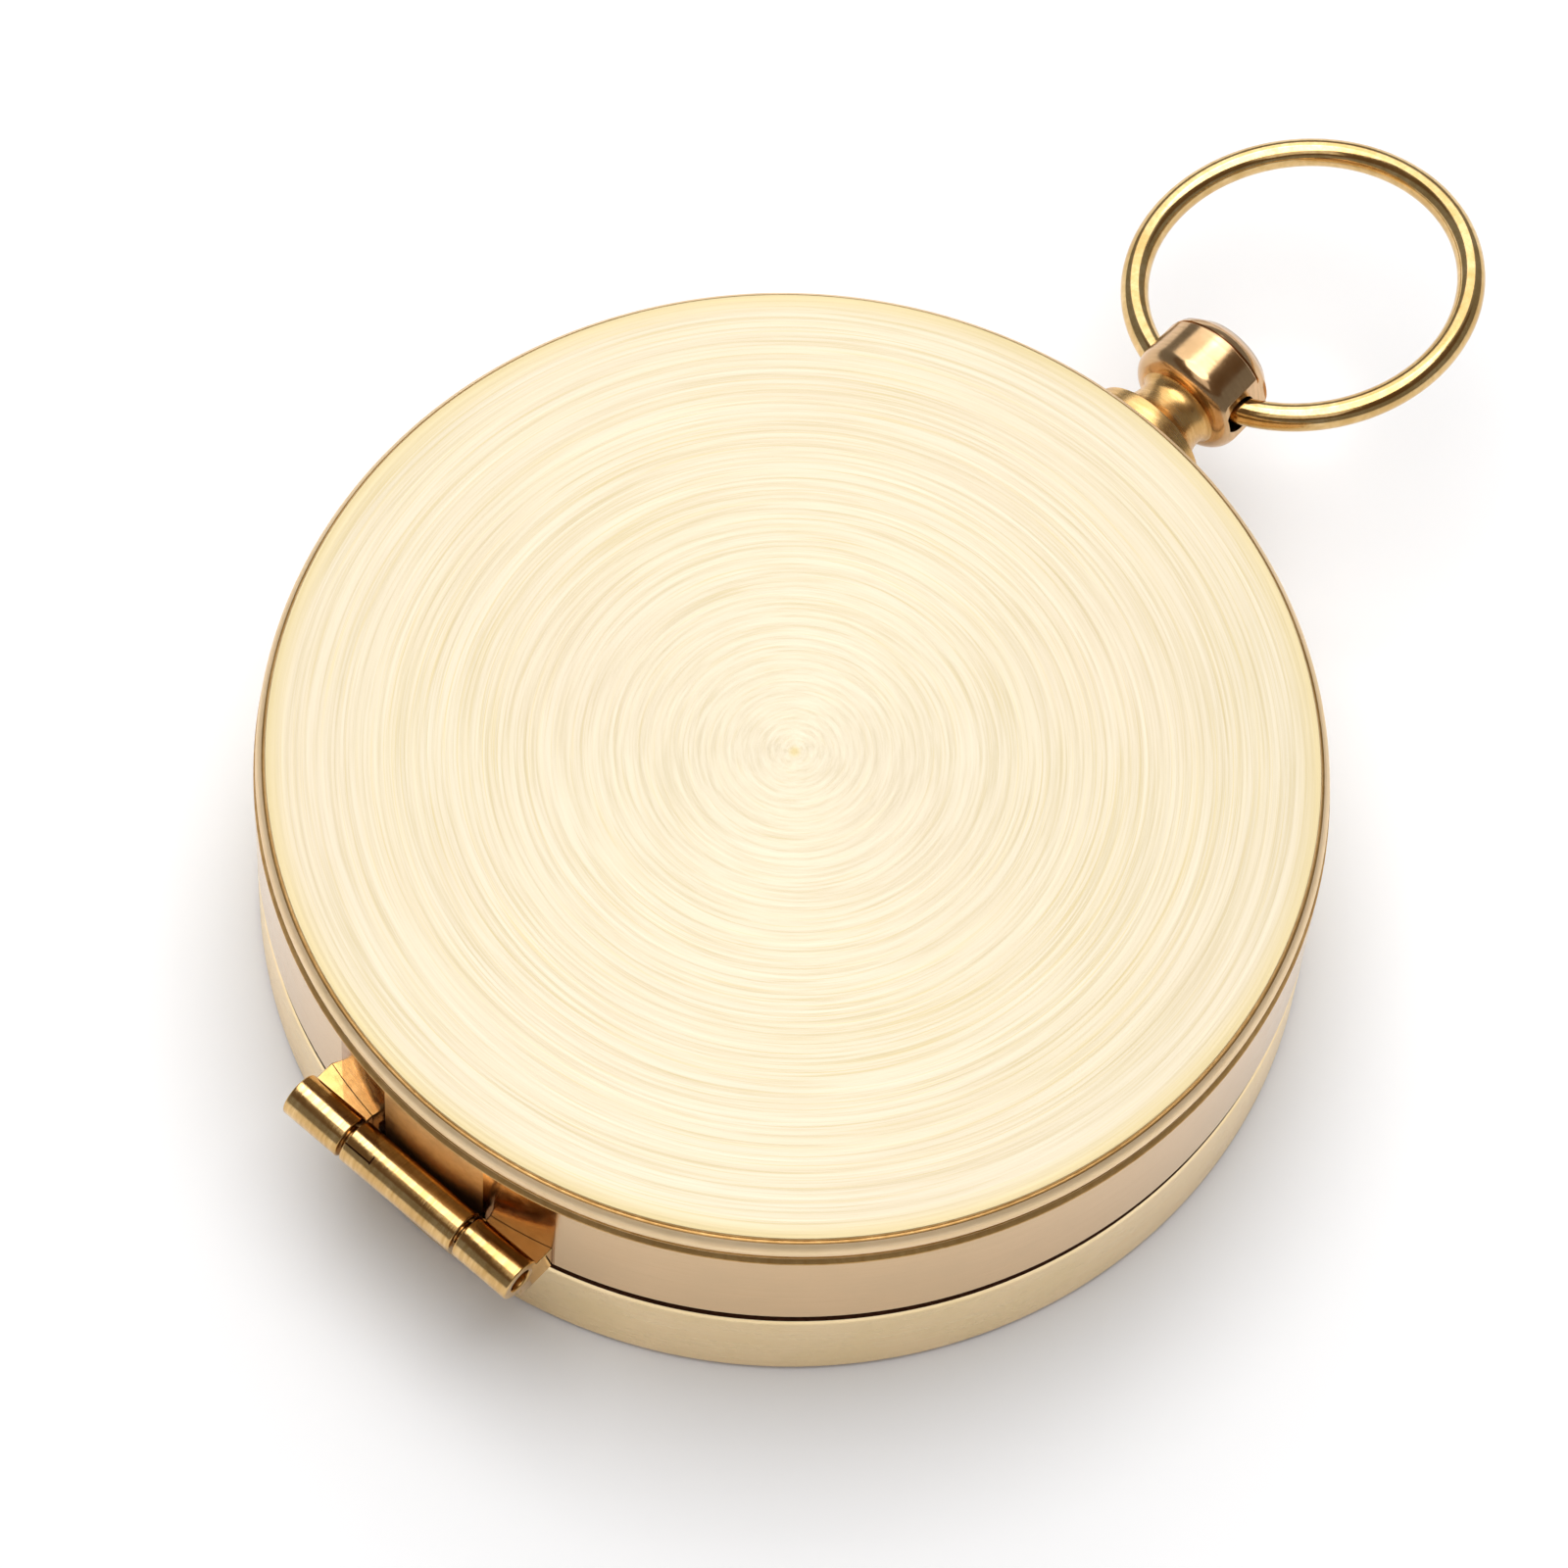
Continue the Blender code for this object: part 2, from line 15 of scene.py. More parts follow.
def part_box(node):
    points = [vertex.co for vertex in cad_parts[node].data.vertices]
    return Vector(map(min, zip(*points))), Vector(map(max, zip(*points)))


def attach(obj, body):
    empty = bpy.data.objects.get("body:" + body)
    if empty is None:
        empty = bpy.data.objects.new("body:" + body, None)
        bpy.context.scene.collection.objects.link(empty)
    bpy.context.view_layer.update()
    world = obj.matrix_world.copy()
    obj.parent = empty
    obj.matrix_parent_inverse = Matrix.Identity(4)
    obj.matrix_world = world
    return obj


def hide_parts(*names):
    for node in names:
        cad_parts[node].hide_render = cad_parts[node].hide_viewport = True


MM = 0.001
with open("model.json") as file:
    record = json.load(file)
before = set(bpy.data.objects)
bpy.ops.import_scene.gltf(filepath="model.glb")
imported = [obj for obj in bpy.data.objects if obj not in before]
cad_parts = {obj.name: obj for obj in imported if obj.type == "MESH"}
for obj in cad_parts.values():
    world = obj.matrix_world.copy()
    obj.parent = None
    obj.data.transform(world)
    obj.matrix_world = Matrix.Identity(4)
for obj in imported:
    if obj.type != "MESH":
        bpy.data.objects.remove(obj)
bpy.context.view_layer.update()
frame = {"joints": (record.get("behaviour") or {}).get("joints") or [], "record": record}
BODIES = frame["record"]["behaviour"]["bodies"]
BODY_OF = {node: body for body, nodes in BODIES.items() for node in nodes}
JOINTS = {joint["name"]: joint for joint in frame["joints"]}


def corners(node):
    """Lowest and highest corner of a CAD node at rest."""
    low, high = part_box(node)
    return low / MM, high / MM


# Driving sizes, read from the frame
BASE_TOP = corners("base_shell")[1].z
LID_LOW, LID_HIGH = corners("lid_shell")
CASE_R, CASE_H, LID_BOTTOM = LID_HIGH.x, LID_HIGH.z, LID_LOW.z
HINGE = Vector(JOINTS["lid_hinge"]["pos_m"]) / MM
BOW_HOLE = Vector(JOINTS["bow_swing"]["pos_m"]) / MM
BOW_AXIS = Vector(JOINTS["bow_swing"]["axis"]).normalized()
PENDANT_TURN = atan2(BOW_AXIS.z, BOW_AXIS.x)
PINTLE_Z = Vector(JOINTS["gnomon_fold"]["pos_m"]).z / MM
HOUR_LOW, HOUR_HIGH = corners("hour_ring")
CARD_LOW, CARD_HIGH = corners("compass_card")

# Sizes inside the pieces, which no corner of a box gives
# Lid: face, bead, shoulder, and the lower rim with its shallow rebate
LID_INNER_R = 24.0
LID_CEILING = 13.1
FACE_R = 24.42
BEAD_CENTRE = (24.22, 13.28)
BEAD_R = 0.68
SHOULDER_Z = 12.66
REBATE_HIGH = 0.24
SEAM_DEPTH = 0.4
# Base: floor, bowl, ledge under the hour ring, and rims
FLOOR_Z = 1.0
BOWL_R = 17.8
BOSS_HOLE_R, BOSS_HOLE_LOW = 0.85, 0.4
LEDGE_Z = 4.45
RECESS_R = 22.95
# Height of the painted shade on the rim under the lid
RIM_SHADE_HIGH = 0.27
FOOT_WIDTH = 1.6
# Height of the painted contact shade round the foot
FOOT_SHADE_Z = 0.34
UNDERSIDE_Z = 0.04
# Hinge
SADDLE_R = CASE_R + 0.02
KNUCKLE_R = 1.1
KNUCKLE_END = corners("base_knuckle")[1].x
BORE_R = 0.6
LUG_BORE_R = BORE_R + 0.1
LUG_TOP = HINGE.z - 0.06
LUG_INSET = 0.03
LUG_REACH = 3.5
# Ends along X of the painted reflections of the lugs and of the centre knuckle on the lid's wall
REFLECTION_ENDS = (-5.9, -2.9, 3.5, 7.0)
LEAF_BOTTOM = 4.2
LEAF_REACH = 3.0
LEAF_GAP = 0.12
SLIT_TURN, NICK_TURN = 36, 28
SLIT_DEPTH = 0.09
SLIT_WIDTH, NICK_WIDTH = 0.09, 0.45
SLIT_LENGTH, NICK_LENGTH = 1.6, 0.08
# Pendant and bow
HEAD_R = 3.0
HEAD_NEAR = 28.95
HEAD_FAR = 31.35
NECK_R = 1.88
COLLAR_R = 3.1
FLAT_HALF = 2.7
FLAT_NEAR, FLAT_FAR = -1.6, 1.25
CROSS_HOLE_R = 0.98
SHANK_R = 1.0
# Dial and compass card
SCREW_HEAD_R = 1.5
DIAL_INNER, DIAL_BEVEL = 16.4, 0.5
SCREW_SHANK_R = 0.8
HOUR_LINE = (17.2, 19.35)
HALF_HOUR_IN, QUARTER_IN = 17.55, 17.9
BOLD, FINE = 0.12, 0.07
CHAPTER = (17.15, 18.3)
NUMERAL_R = 20.75
NUMERAL_HIGH = 1.9
BOWL_RING_IN = 16.2
PACKING_IN = 16.6
DEGREE_RING = (14.75, 15.95)
DEGREE_IN = 15.45
ROSE_RING = 11.4
ROSE_REACH = (10.9, 5.2, 7.9, 5.2)
INK_DEPTH, INK_PROUD = 0.02, 0.012
LATITUDE = 45.0
# Gnomon and its spring
STYLE_FOOT = -15.2
STYLE_HEIGHT = 13.0
SPRING_R = 0.86
SPRING_WIRE_R = 0.12

CASE_STEPS = 288
PART_STEPS = 96


# Outlines

def polar(radius, angle):
    """A point at a distance from the origin and an angle in degrees."""
    return radius * cos(radians(angle)), radius * sin(radians(angle))


def arc(centre, radius, start, end, count):
    """Points of an arc from one angle to another, in degrees."""
    angles = [start + (end - start) * i / count for i in range(count + 1)]
    return [(centre[0] + polar(radius, a)[0], centre[1] + polar(radius, a)[1]) for a in angles]


def rounded(outline, segments=4):
    """An outline whose points are (x, y) or, for a corner to be rounded, (x, y, radius)."""
    points = []
    for i, corner in enumerate(outline):
        if len(corner) == 2:
            points.append(tuple(corner))
            continue
        here = Vector(corner[:2])
        back = (Vector(outline[i - 1][:2]) - here).normalized()
        on = (Vector(outline[(i + 1) % len(outline)][:2]) - here).normalized()
        half = back.angle(on) / 2
        centre = here + (back + on).normalized() * corner[2] / sin(half)
        start = here + back * corner[2] / tan(half) - centre
        end = here + on * corner[2] / tan(half) - centre
        turn = start.angle_signed(end)
        first = atan2(start.y, start.x)
        for k in range(segments + 1):
            angle = first - turn * k / segments
            points.append((centre.x + corner[2] * cos(angle), centre.y + corner[2] * sin(angle)))
    return points


def rod(radius, low, high):
    """The profile of a plain rod, drum or bore between two heights."""
    return [(0, high), (radius, high), (radius, low), (0, low)]


def flat_ring(inner, outer, low, high, edge):
    """The section of a plain ring with rounded edges."""
    section = ((outer, high), (outer, low), (inner, low), (inner, high))
    return rounded([(*corner, edge) for corner in section])


# Meshes

def shade(mesh):
    """Smooth, apart from the edges where faces meet at more than a slight angle."""
    mesh.shade_smooth()
    mesh.set_sharp_from_angle(angle=radians(32))


def make(name, work, mats, zone=None):
    """An object from a bmesh in millimetres. zone gives a face's material from its middle."""
    bmesh.ops.recalc_face_normals(work, faces=work.faces)
    if zone:
        for face in work.faces:
            face.material_index = mats.index(zone(face.calc_center_median()))
    bmesh.ops.scale(work, vec=(MM, MM, MM), verts=work.verts)
    mesh = bpy.data.meshes.new(name)
    work.to_mesh(mesh)
    work.free()
    for mat in mats if isinstance(mats, (list, tuple)) else [mats]:
        mesh.materials.append(mat)
    shade(mesh)
    made = bpy.data.objects.new(name, mesh)
    bpy.context.scene.collection.objects.link(made)
    return made


def lathe(name, profile, mats, steps=PART_STEPS, closed=False, zone=None, turn=None):
    """A profile of (radius, height) points turned about Z, then moved by the matrix turn."""
    work = bmesh.new()
    rings = []
    for radius, height in profile:
        if radius < 0.000001:
            rings.append([work.verts.new((0, 0, height))] * steps)
            continue
        spots = [polar(radius, 360 * i / steps) for i in range(steps)]
        rings.append([work.verts.new((x, y, height)) for x, y in spots])
    if closed:
        rings.append(rings[0])
    for upper, lower in zip(rings, rings[1:]):
        for i in range(steps):
            j = (i + 1) % steps
            loop = dict.fromkeys([upper[i], lower[i], lower[j], upper[j]])
            if len(loop) > 2:
                work.faces.new(list(loop))
    if turn:
        bmesh.ops.transform(work, matrix=turn, verts=work.verts)
    return make(name, work, mats, zone)


def prism(name, outline, low, high, mat, turn=None):
    """A plate between two heights from its outline in XY, then moved by the matrix turn."""
    work = bmesh.new()
    add_prism(work, outline, low, high)
    if turn:
        bmesh.ops.transform(work, matrix=turn, verts=work.verts)
    return make(name, work, mat)


def add_prism(work, outline, low, high):
    """Adds a closed plate between two heights to a bmesh."""
    lower = [work.verts.new((x, y, low)) for x, y in outline]
    upper = [work.verts.new((x, y, high)) for x, y in outline]
    work.faces.new(upper)
    work.faces.new(lower[::-1])
    for i in range(len(outline)):
        j = (i + 1) % len(outline)
        work.faces.new([lower[i], lower[j], upper[j], upper[i]])


def tube(name, path, radius, sides, mat):
    """A round wire with flat ends, along a path of points."""
    work = bmesh.new()
    path = [Vector(p) for p in path]
    side = Vector((0, 0, 1))
    rings = []
    for i, point in enumerate(path):
        along = (path[min(i + 1, len(path) - 1)] - path[max(i - 1, 0)]).normalized()
        side = (side - along * side.dot(along)).normalized()
        other = along.cross(side)
        spots = [polar(radius, 360 * k / sides) for k in range(sides)]
        rings.append([work.verts.new(point + side * a + other * b) for a, b in spots])
    for near, far in zip(rings, rings[1:]):
        for k in range(sides):
            m = (k + 1) % sides
            work.faces.new([near[k], near[m], far[m], far[k]])
    work.faces.new(rings[0][::-1])
    work.faces.new(rings[-1])
    return make(name, work, mat)


def move(made, turn):
    """Moves a made piece's mesh by a matrix in millimetres."""
    made.data.transform(Matrix.Scale(MM, 4) @ turn @ Matrix.Scale(1 / MM, 4))


def settle(made):
    """Applies an object's modifiers to its mesh."""
    graph = bpy.context.evaluated_depsgraph_get()
    mesh = bpy.data.meshes.new_from_object(made.evaluated_get(graph))
    made.modifiers.clear()
    made.data = mesh


def combine(made, other, operation):
    """Cuts or joins another solid into this one, and removes it."""
    step = made.modifiers.new(operation, "BOOLEAN")
    step.operation = operation
    step.solver = "EXACT"
    step.object = other
    settle(made)
    bpy.data.objects.remove(other, do_unlink=True)
    shade(made.data)


def bevel(made, width, segments=3):
    step = made.modifiers.new("edge", "BEVEL")
    step.width = width * MM
    step.segments = segments
    step.limit_method = "ANGLE"
    step.angle_limit = radians(40)
    settle(made)
    shade(made.data)
    return made


def rezone(made, mats, zone):
    """New materials for a finished piece. zone gives a face's material from the face's middle."""
    made.data.materials.clear()
    for mat in mats:
        made.data.materials.append(mat)
    for face in made.data.polygons:
        face.material_index = mats.index(zone(face.center / MM))


def stand_for(made, cad_node):
    """The piece rides on its CAD node's body and is shown instead of the node."""
    made.modifiers.new("flat_faces", "WEIGHTED_NORMAL").keep_sharp = True
    settle(made)
    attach(made, BODY_OF[cad_node])
    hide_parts(cad_node)


def add_detail(made, body):
    """The piece rides on a body, and no CAD node stands for it."""
    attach(made, body)


# Materials

def shader_tree(name):
    mat = bpy.data.materials.new(name)
    mat.use_nodes = True
    return mat, mat.node_tree, mat.node_tree.nodes["Principled BSDF"]


def feed(tree, made, inputs):
    """Sets a node's own inputs to values, or links them where a socket is given."""
    for key, value in inputs.items():
        if isinstance(value, bpy.types.NodeSocket):
            tree.links.new(value, made.inputs[key])
        else:
            made.inputs[key].default_value = value


def node(tree, kind, inputs=None, **settings):
    made = tree.nodes.new("ShaderNode" + kind)
    for key, value in settings.items():
        setattr(made, key, value)
    feed(tree, made, inputs or {})
    return made


def stretched(tree, scale):
    """Object coordinates in millimetres, scaled along each axis."""
    place = node(tree, "TexCoord").outputs["Object"]
    return node(tree, "Mapping", {"Vector": place, "Scale": [s / MM for s in scale]}).outputs[0]


def round_axis(tree, fine, around):
    """Coordinates that follow circles round Z: radius times fine and bearing times around."""
    flat = stretched(tree, (1, 1, 0))
    reach = node(tree, "VectorMath", {0: flat}, operation="LENGTH").outputs["Value"]
    unit = node(tree, "VectorMath", {0: flat}, operation="NORMALIZE").outputs[0]
    bearing = node(tree, "VectorMath", {0: unit, "Scale": around}, operation="SCALE").outputs[0]
    parts = node(tree, "SeparateXYZ", {0: bearing})
    out = node(tree, "Math", {0: reach, 1: fine}, operation="MULTIPLY").outputs[0]
    joined = node(tree, "CombineXYZ", {0: out, 1: parts.outputs[0], 2: parts.outputs[1]})
    return joined.outputs[0], reach


def noise(tree, vector, detail, rough=0.6):
    inputs = {"Vector": vector, "Scale": 1.0, "Detail": detail, "Roughness": rough}
    return node(tree, "TexNoise", inputs).outputs["Fac"]


def spread(tree, value, low, high, to_low=0.0, to_high=1.0):
    """A value mapped from one range to another, and held inside it."""
    ends = {"From Min": low, "From Max": high, "To Min": to_low, "To Max": to_high}
    return node(tree, "MapRange", {"Value": value, **ends}).outputs[0]


def blend(tree, share, *colours):
    """Two colours mixed, each a socket or red, green and blue."""
    made = node(tree, "Mix", {"Factor": share}, data_type="RGBA")
    first, second = [(*c, 1.0) if isinstance(c, tuple) else c for c in colours]
    feed(tree, made, {6: first, 7: second})
    return made.outputs[2]


def product(tree, first, second):
    return node(tree, "Math", {0: first, 1: second}, operation="MULTIPLY").outputs[0]


def metal(name, light, dark, roughness, grain, depth, tarnish, metallic=1.0):
    """A worked metal: the tool's grain in colour, gloss and relief, and soft patches of tarnish."""
    mat, tree, shader = shader_tree(name)
    if len(grain) == 2:
        where, _ = round_axis(tree, *grain)
    else:
        where = stretched(tree, grain)
    lines = noise(tree, where, detail=4, rough=0.65)
    patches = noise(tree, stretched(tree, (0.22, 0.22, 0.22)), detail=5)
    marks = noise(tree, stretched(tree, (1.7, 1.7, 1.7)), detail=2)
    fine = spread(tree, lines, 0.35, 0.68)
    worn = spread(tree, patches, 0.42, 0.72)
    colour = blend(tree, fine, light, dark)
    colour = blend(tree, worn, colour, tarnish)
    gloss = spread(tree, lines, 0.3, 0.7, *roughness)
    smudge = spread(tree, marks, 0.45, 0.8, 0.0, 0.06)
    total = node(tree, "Math", {0: gloss, 1: smudge}, operation="ADD").outputs[0]
    relief = node(tree, "Bump", {"Height": lines, "Strength": 1.0, "Distance": depth * MM})
    feed(tree, shader, {"Base Color": colour, "Roughness": total, "Normal": relief.outputs[0]})
    shader.inputs["Metallic"].default_value = metallic
    return mat


def brushed_face():
    """The lid's face: brass brushed in circles, with long arcs of lighter and darker lines."""
    mat, tree, shader = shader_tree("brushed_face")
    fine_at, reach = round_axis(tree, 5.5, 1.2)
    wide_at, _ = round_axis(tree, 1.7, 0.8)
    fine = noise(tree, fine_at, detail=5, rough=0.72)
    wide = noise(tree, wide_at, detail=3)
    patch = noise(tree, stretched(tree, (0.09, 0.09, 0.09)), detail=3)
    hair_at, _ = round_axis(tree, 13.0, 1.6)
    hair = noise(tree, hair_at, detail=2)
    outward = spread(tree, reach, 1.5, 15.0, 0.3, 1.0)
    hair_line = product(tree, spread(tree, hair, 0.54, 0.68, 0.0, 0.6), outward)
    line = product(tree, spread(tree, fine, 0.48, 0.68), outward)
    band = product(tree, spread(tree, wide, 0.42, 0.70, 0.0, 0.3), outward)
    pale, gold, deep = (0.597, 0.536, 0.417), (0.56, 0.48, 0.31), (0.56, 0.465, 0.255)
    colour = blend(tree, line, pale, gold)
    colour = blend(tree, band, colour, gold)
    colour = blend(tree, hair_line, colour, deep)
    rosy = spread(tree, patch, 0.40, 0.75, 0.0, 0.5)
    colour = blend(tree, rosy, colour, (0.60, 0.52, 0.405))
    edge = spread(tree, reach, FACE_R - 1.0, FACE_R - 0.1, 0.0, 0.8)
    colour = blend(tree, edge, colour, deep)
    spot = spread(tree, reach, 0.1, 0.35, 0.9, 0.0)
    colour = blend(tree, spot, colour, deep)
    gloss = spread(tree, fine, 0.3, 0.7, 0.53, 0.61)
    relief = node(tree, "Bump", {"Height": fine, "Strength": 1.0, "Distance": 0.0008 * MM})
    tangent = node(tree, "Tangent", direction_type="RADIAL", axis="Z")
    feed(tree, shader, {
        "Base Color": colour,
        "Roughness": gloss,
        "Normal": relief.outputs[0],
        "Tangent": tangent.outputs[0],
        "Metallic": 1.0,
        "Anisotropic": 0.3,
        "Anisotropic Rotation": 0.25,
    })
    return mat


def clear_glass():
    mat, tree, shader = shader_tree("clear_glass")
    haze = noise(tree, stretched(tree, (0.4, 0.4, 0.4)), detail=4)
    alpha = spread(tree, haze, 0.4, 0.7, 0.14, 0.18)
    gloss = spread(tree, haze, 0.4, 0.7, 0.02, 0.07)
    feed(tree, shader, {"Alpha": alpha, "Roughness": gloss})
    feed(tree, shader, {"Base Color": (0.92, 0.96, 0.95, 1.0), "IOR": 1.52})
    return mat


def plain(name, light, dark, roughness, scale, depth=0.002):
    """A dull surface, such as ink, paint or leather, with fine mottling."""
    mat, tree, shader = shader_tree(name)
    mottle = noise(tree, stretched(tree, (scale, scale, scale)), detail=5)
    share = spread(tree, mottle, 0.35, 0.68)
    gloss = spread(tree, mottle, 0.3, 0.7, *roughness)
    relief = node(tree, "Bump", {"Height": mottle, "Strength": 1.0, "Distance": depth * MM})
    colour = blend(tree, share, light, dark)
    feed(tree, shader, {"Base Color": colour, "Roughness": gloss, "Normal": relief.outputs[0]})
    return mat


# Grain: a scale along each axis, or round_axis's pair for circles round Z
ALONG_X = (6.0, 0.5, 0.5)
ALONG_Y = (0.5, 7.0, 0.5)
ALONG_Z = (0.12, 0.12, 9.0)
EVEN = (2.0, 2.0, 2.0)
ROUND = (7.0, 2.0)

FACE = brushed_face()
WALL = metal("wall_brass", (0.98, 0.78, 0.48), (0.95, 0.73, 0.43), (0.24, 0.34), ALONG_Z, 0.001,
             (0.92, 0.72, 0.40))
LID_WALL = metal("lid_wall_brass", (0.80, 0.56, 0.32), (0.76, 0.52, 0.28), (0.11, 0.17), ALONG_Z,
                 0.0006, (0.74, 0.52, 0.29))
BEAD = metal("bead_brass", (0.98, 0.78, 0.52), (0.93, 0.71, 0.44), (0.5, 0.6), ALONG_Z, 0.0005,
             (0.90, 0.70, 0.42))
LUG = metal("lug_brass", (0.80, 0.57, 0.27), (0.72, 0.49, 0.20), (0.06, 0.12), EVEN, 0.0004,
            (0.62, 0.38, 0.14))
# Painted reflections of the hinge in the lid's wall: darker copper behind the lugs and outer
# knuckles, golden behind the centre knuckle
LUG_REFLECTION = metal("lug_reflection_brass", (0.56, 0.31, 0.12), (0.46, 0.23, 0.08), (0.11, 0.19), EVEN,
               0.0006, (0.40, 0.20, 0.07))
KNUCKLE_REFLECTION = metal("knuckle_reflection_brass", (0.80, 0.52, 0.24), (0.66, 0.40, 0.16), (0.32, 0.42), EVEN, 0.0006,
               (0.56, 0.32, 0.12))
TURNED = metal("turned_brass", (0.56, 0.43, 0.22), (0.49, 0.36, 0.16), (0.34, 0.48), ROUND, 0.003,
               (0.46, 0.32, 0.14))
# Painted shade: near-black brass with almost no reflection, for the seam under the lid, the lid's
# rebate, and the knuckle's side towards the case and its slit
SEAM_SHADE = plain("seam_painted_shade", (0.06, 0.018, 0.006), (0.03, 0.009, 0.003), (0.6, 0.8), 4.0)
SEAM_SHADE.node_tree.nodes["Principled BSDF"].inputs["Specular IOR Level"].default_value = 0.05
KNUCKLE = metal("knuckle_brass", (0.82, 0.57, 0.27), (0.58, 0.35, 0.12), (0.12, 0.23), ALONG_X,
                0.008, (0.48, 0.27, 0.08))
# Painted shade: darker brass in the lid's grooves, under the bead, on the shoulder's chamfer and
# round the base's foot
GROOVE_SHADE = metal("groove_shade_brass", (0.62, 0.38, 0.15), (0.50, 0.28, 0.09), (0.3, 0.4), EVEN, 0.0005,
               (0.40, 0.22, 0.07))
HEAD = metal("pendant_brass", (0.78, 0.51, 0.28), (0.60, 0.38, 0.19), (0.13, 0.22), ALONG_Y, 0.0015,
             (0.50, 0.32, 0.16))
NECK = metal("neck_brass", (0.80, 0.52, 0.22), (0.62, 0.36, 0.12), (0.22, 0.32), ALONG_Y, 0.004,
             (0.52, 0.29, 0.09))
WIRE = metal("wire_brass", (0.80, 0.57, 0.28), (0.64, 0.42, 0.16), (0.09, 0.17), EVEN, 0.0012,
             (0.54, 0.33, 0.11))
PLATE = metal("plate_brass", (0.74, 0.48, 0.18), (0.56, 0.33, 0.10), (0.16, 0.3), EVEN, 0.002,
              (0.46, 0.25, 0.07))
SILVERED = metal("silvered_brass", (0.52, 0.51, 0.47), (0.46, 0.45, 0.40), (0.42, 0.56), ROUND,
                 0.003, (0.47, 0.42, 0.31))
STEEL = metal("bright_steel", (0.62, 0.62, 0.63), (0.45, 0.45, 0.46), (0.2, 0.35), EVEN, 0.002,
              (0.40, 0.37, 0.34))
BLUED = metal("blued_steel_fine", (0.03, 0.07, 0.30), (0.02, 0.04, 0.18), (0.18, 0.3), EVEN, 0.001,
              (0.07, 0.05, 0.20))
CARD = metal("printed_card", (0.84, 0.80, 0.68), (0.78, 0.73, 0.60), (0.4, 0.55), ROUND, 0.001,
             (0.76, 0.68, 0.48), metallic=0.35)
INK = plain("black_wax", (0.012, 0.011, 0.010), (0.035, 0.03, 0.025), (0.35, 0.6), 6.0)
RED = plain("red_ink", (0.36, 0.05, 0.03), (0.25, 0.035, 0.02), (0.4, 0.6), 6.0)
GLASS = clear_glass()
LEATHER = plain("packing_leather", (0.16, 0.09, 0.05), (0.09, 0.05, 0.03), (0.7, 0.9), 3.0, 0.02)


# Case

def base_zone(middle):
    """Painted shade on the rim under the lid and a painted dark line round the foot, the polished
    wall, and the turned inside.
    """
    reach = hypot(middle.x, middle.y)
    # The top of the rim, in the seam under the lid: painted shade
    if middle.z > BASE_TOP - RIM_SHADE_HIGH and CASE_R - SEAM_DEPTH < reach:
        return SEAM_SHADE
    # The lowest band of the wall, next to the floor: painted contact shade in the darker groove
    # brass
    if middle.z < FOOT_SHADE_Z and reach > CASE_R - 0.5:
        return GROOVE_SHADE
    return WALL if reach > RECESS_R + 0.05 else TURNED


def build_base():
    """The cup, from the floor's middle out to the wall and back under the foot."""
    outline = [
        (0, BOSS_HOLE_LOW),
        (BOSS_HOLE_R, BOSS_HOLE_LOW),
        (BOSS_HOLE_R, FLOOR_Z, 0.06),
        (BOWL_R, FLOOR_Z, 0.25),
        (BOWL_R, LEDGE_Z, 0.08),
        (RECESS_R, LEDGE_Z, 0.08),
        (RECESS_R, BASE_TOP, 0.1),
        (CASE_R, BASE_TOP, 0.55),
        (CASE_R, 0, 0.4),
        (CASE_R - FOOT_WIDTH, 0, 0.1),
        (CASE_R - FOOT_WIDTH - 0.2, UNDERSIDE_Z, 0.1),
        (0, UNDERSIDE_Z),
    ]
    mats = [WALL, TURNED, SEAM_SHADE, GROOVE_SHADE]
    made = lathe("base_case", rounded(outline, 8), mats, CASE_STEPS, zone=base_zone)
    stand_for(made, "base_shell")


def lid_zone(middle):
    """Painted shade in the rebate, in the grooves beside the bead, under the bead and on the
    shoulder's chamfer; the brushed face, the bead, and the wall with painted reflections of the
    hinge behind the lugs.
    """
    reach = hypot(middle.x, middle.y)
    # The rebate at the lid's lower rim: painted shade
    if middle.z < LID_BOTTOM + REBATE_HIGH - 0.02 and CASE_R - SEAM_DEPTH < reach:
        return SEAM_SHADE
    if middle.z > CASE_H - 0.03:
        return FACE
    if reach < LID_INNER_R + 0.2:
        return TURNED
    in_groove = FACE_R - 0.1 < reach < FACE_R + 0.2 and middle.z > CASE_H - 0.28
    under_bead = SHOULDER_Z - 0.01 < middle.z < SHOULDER_Z + 0.14 and reach < FACE_R + 0.3
    chamfer = reach > CASE_R - 0.22 and SHOULDER_Z - 0.28 < middle.z < SHOULDER_Z - 0.005
    # The grooves, the bead's underside and the chamfer: painted shade
    if in_groove or under_bead or chamfer:
        return GROOVE_SHADE
    if middle.z > SHOULDER_Z - 0.01:
        return BEAD
    # Behind the hinge the wall carries painted reflections of the lugs and the centre knuckle
    if middle.y > 0 or reach < CASE_R - 0.3 or not REFLECTION_ENDS[0] < middle.x < REFLECTION_ENDS[3]:
        return LID_WALL
    return KNUCKLE_REFLECTION if REFLECTION_ENDS[1] < middle.x < REFLECTION_ENDS[2] else LUG_REFLECTION


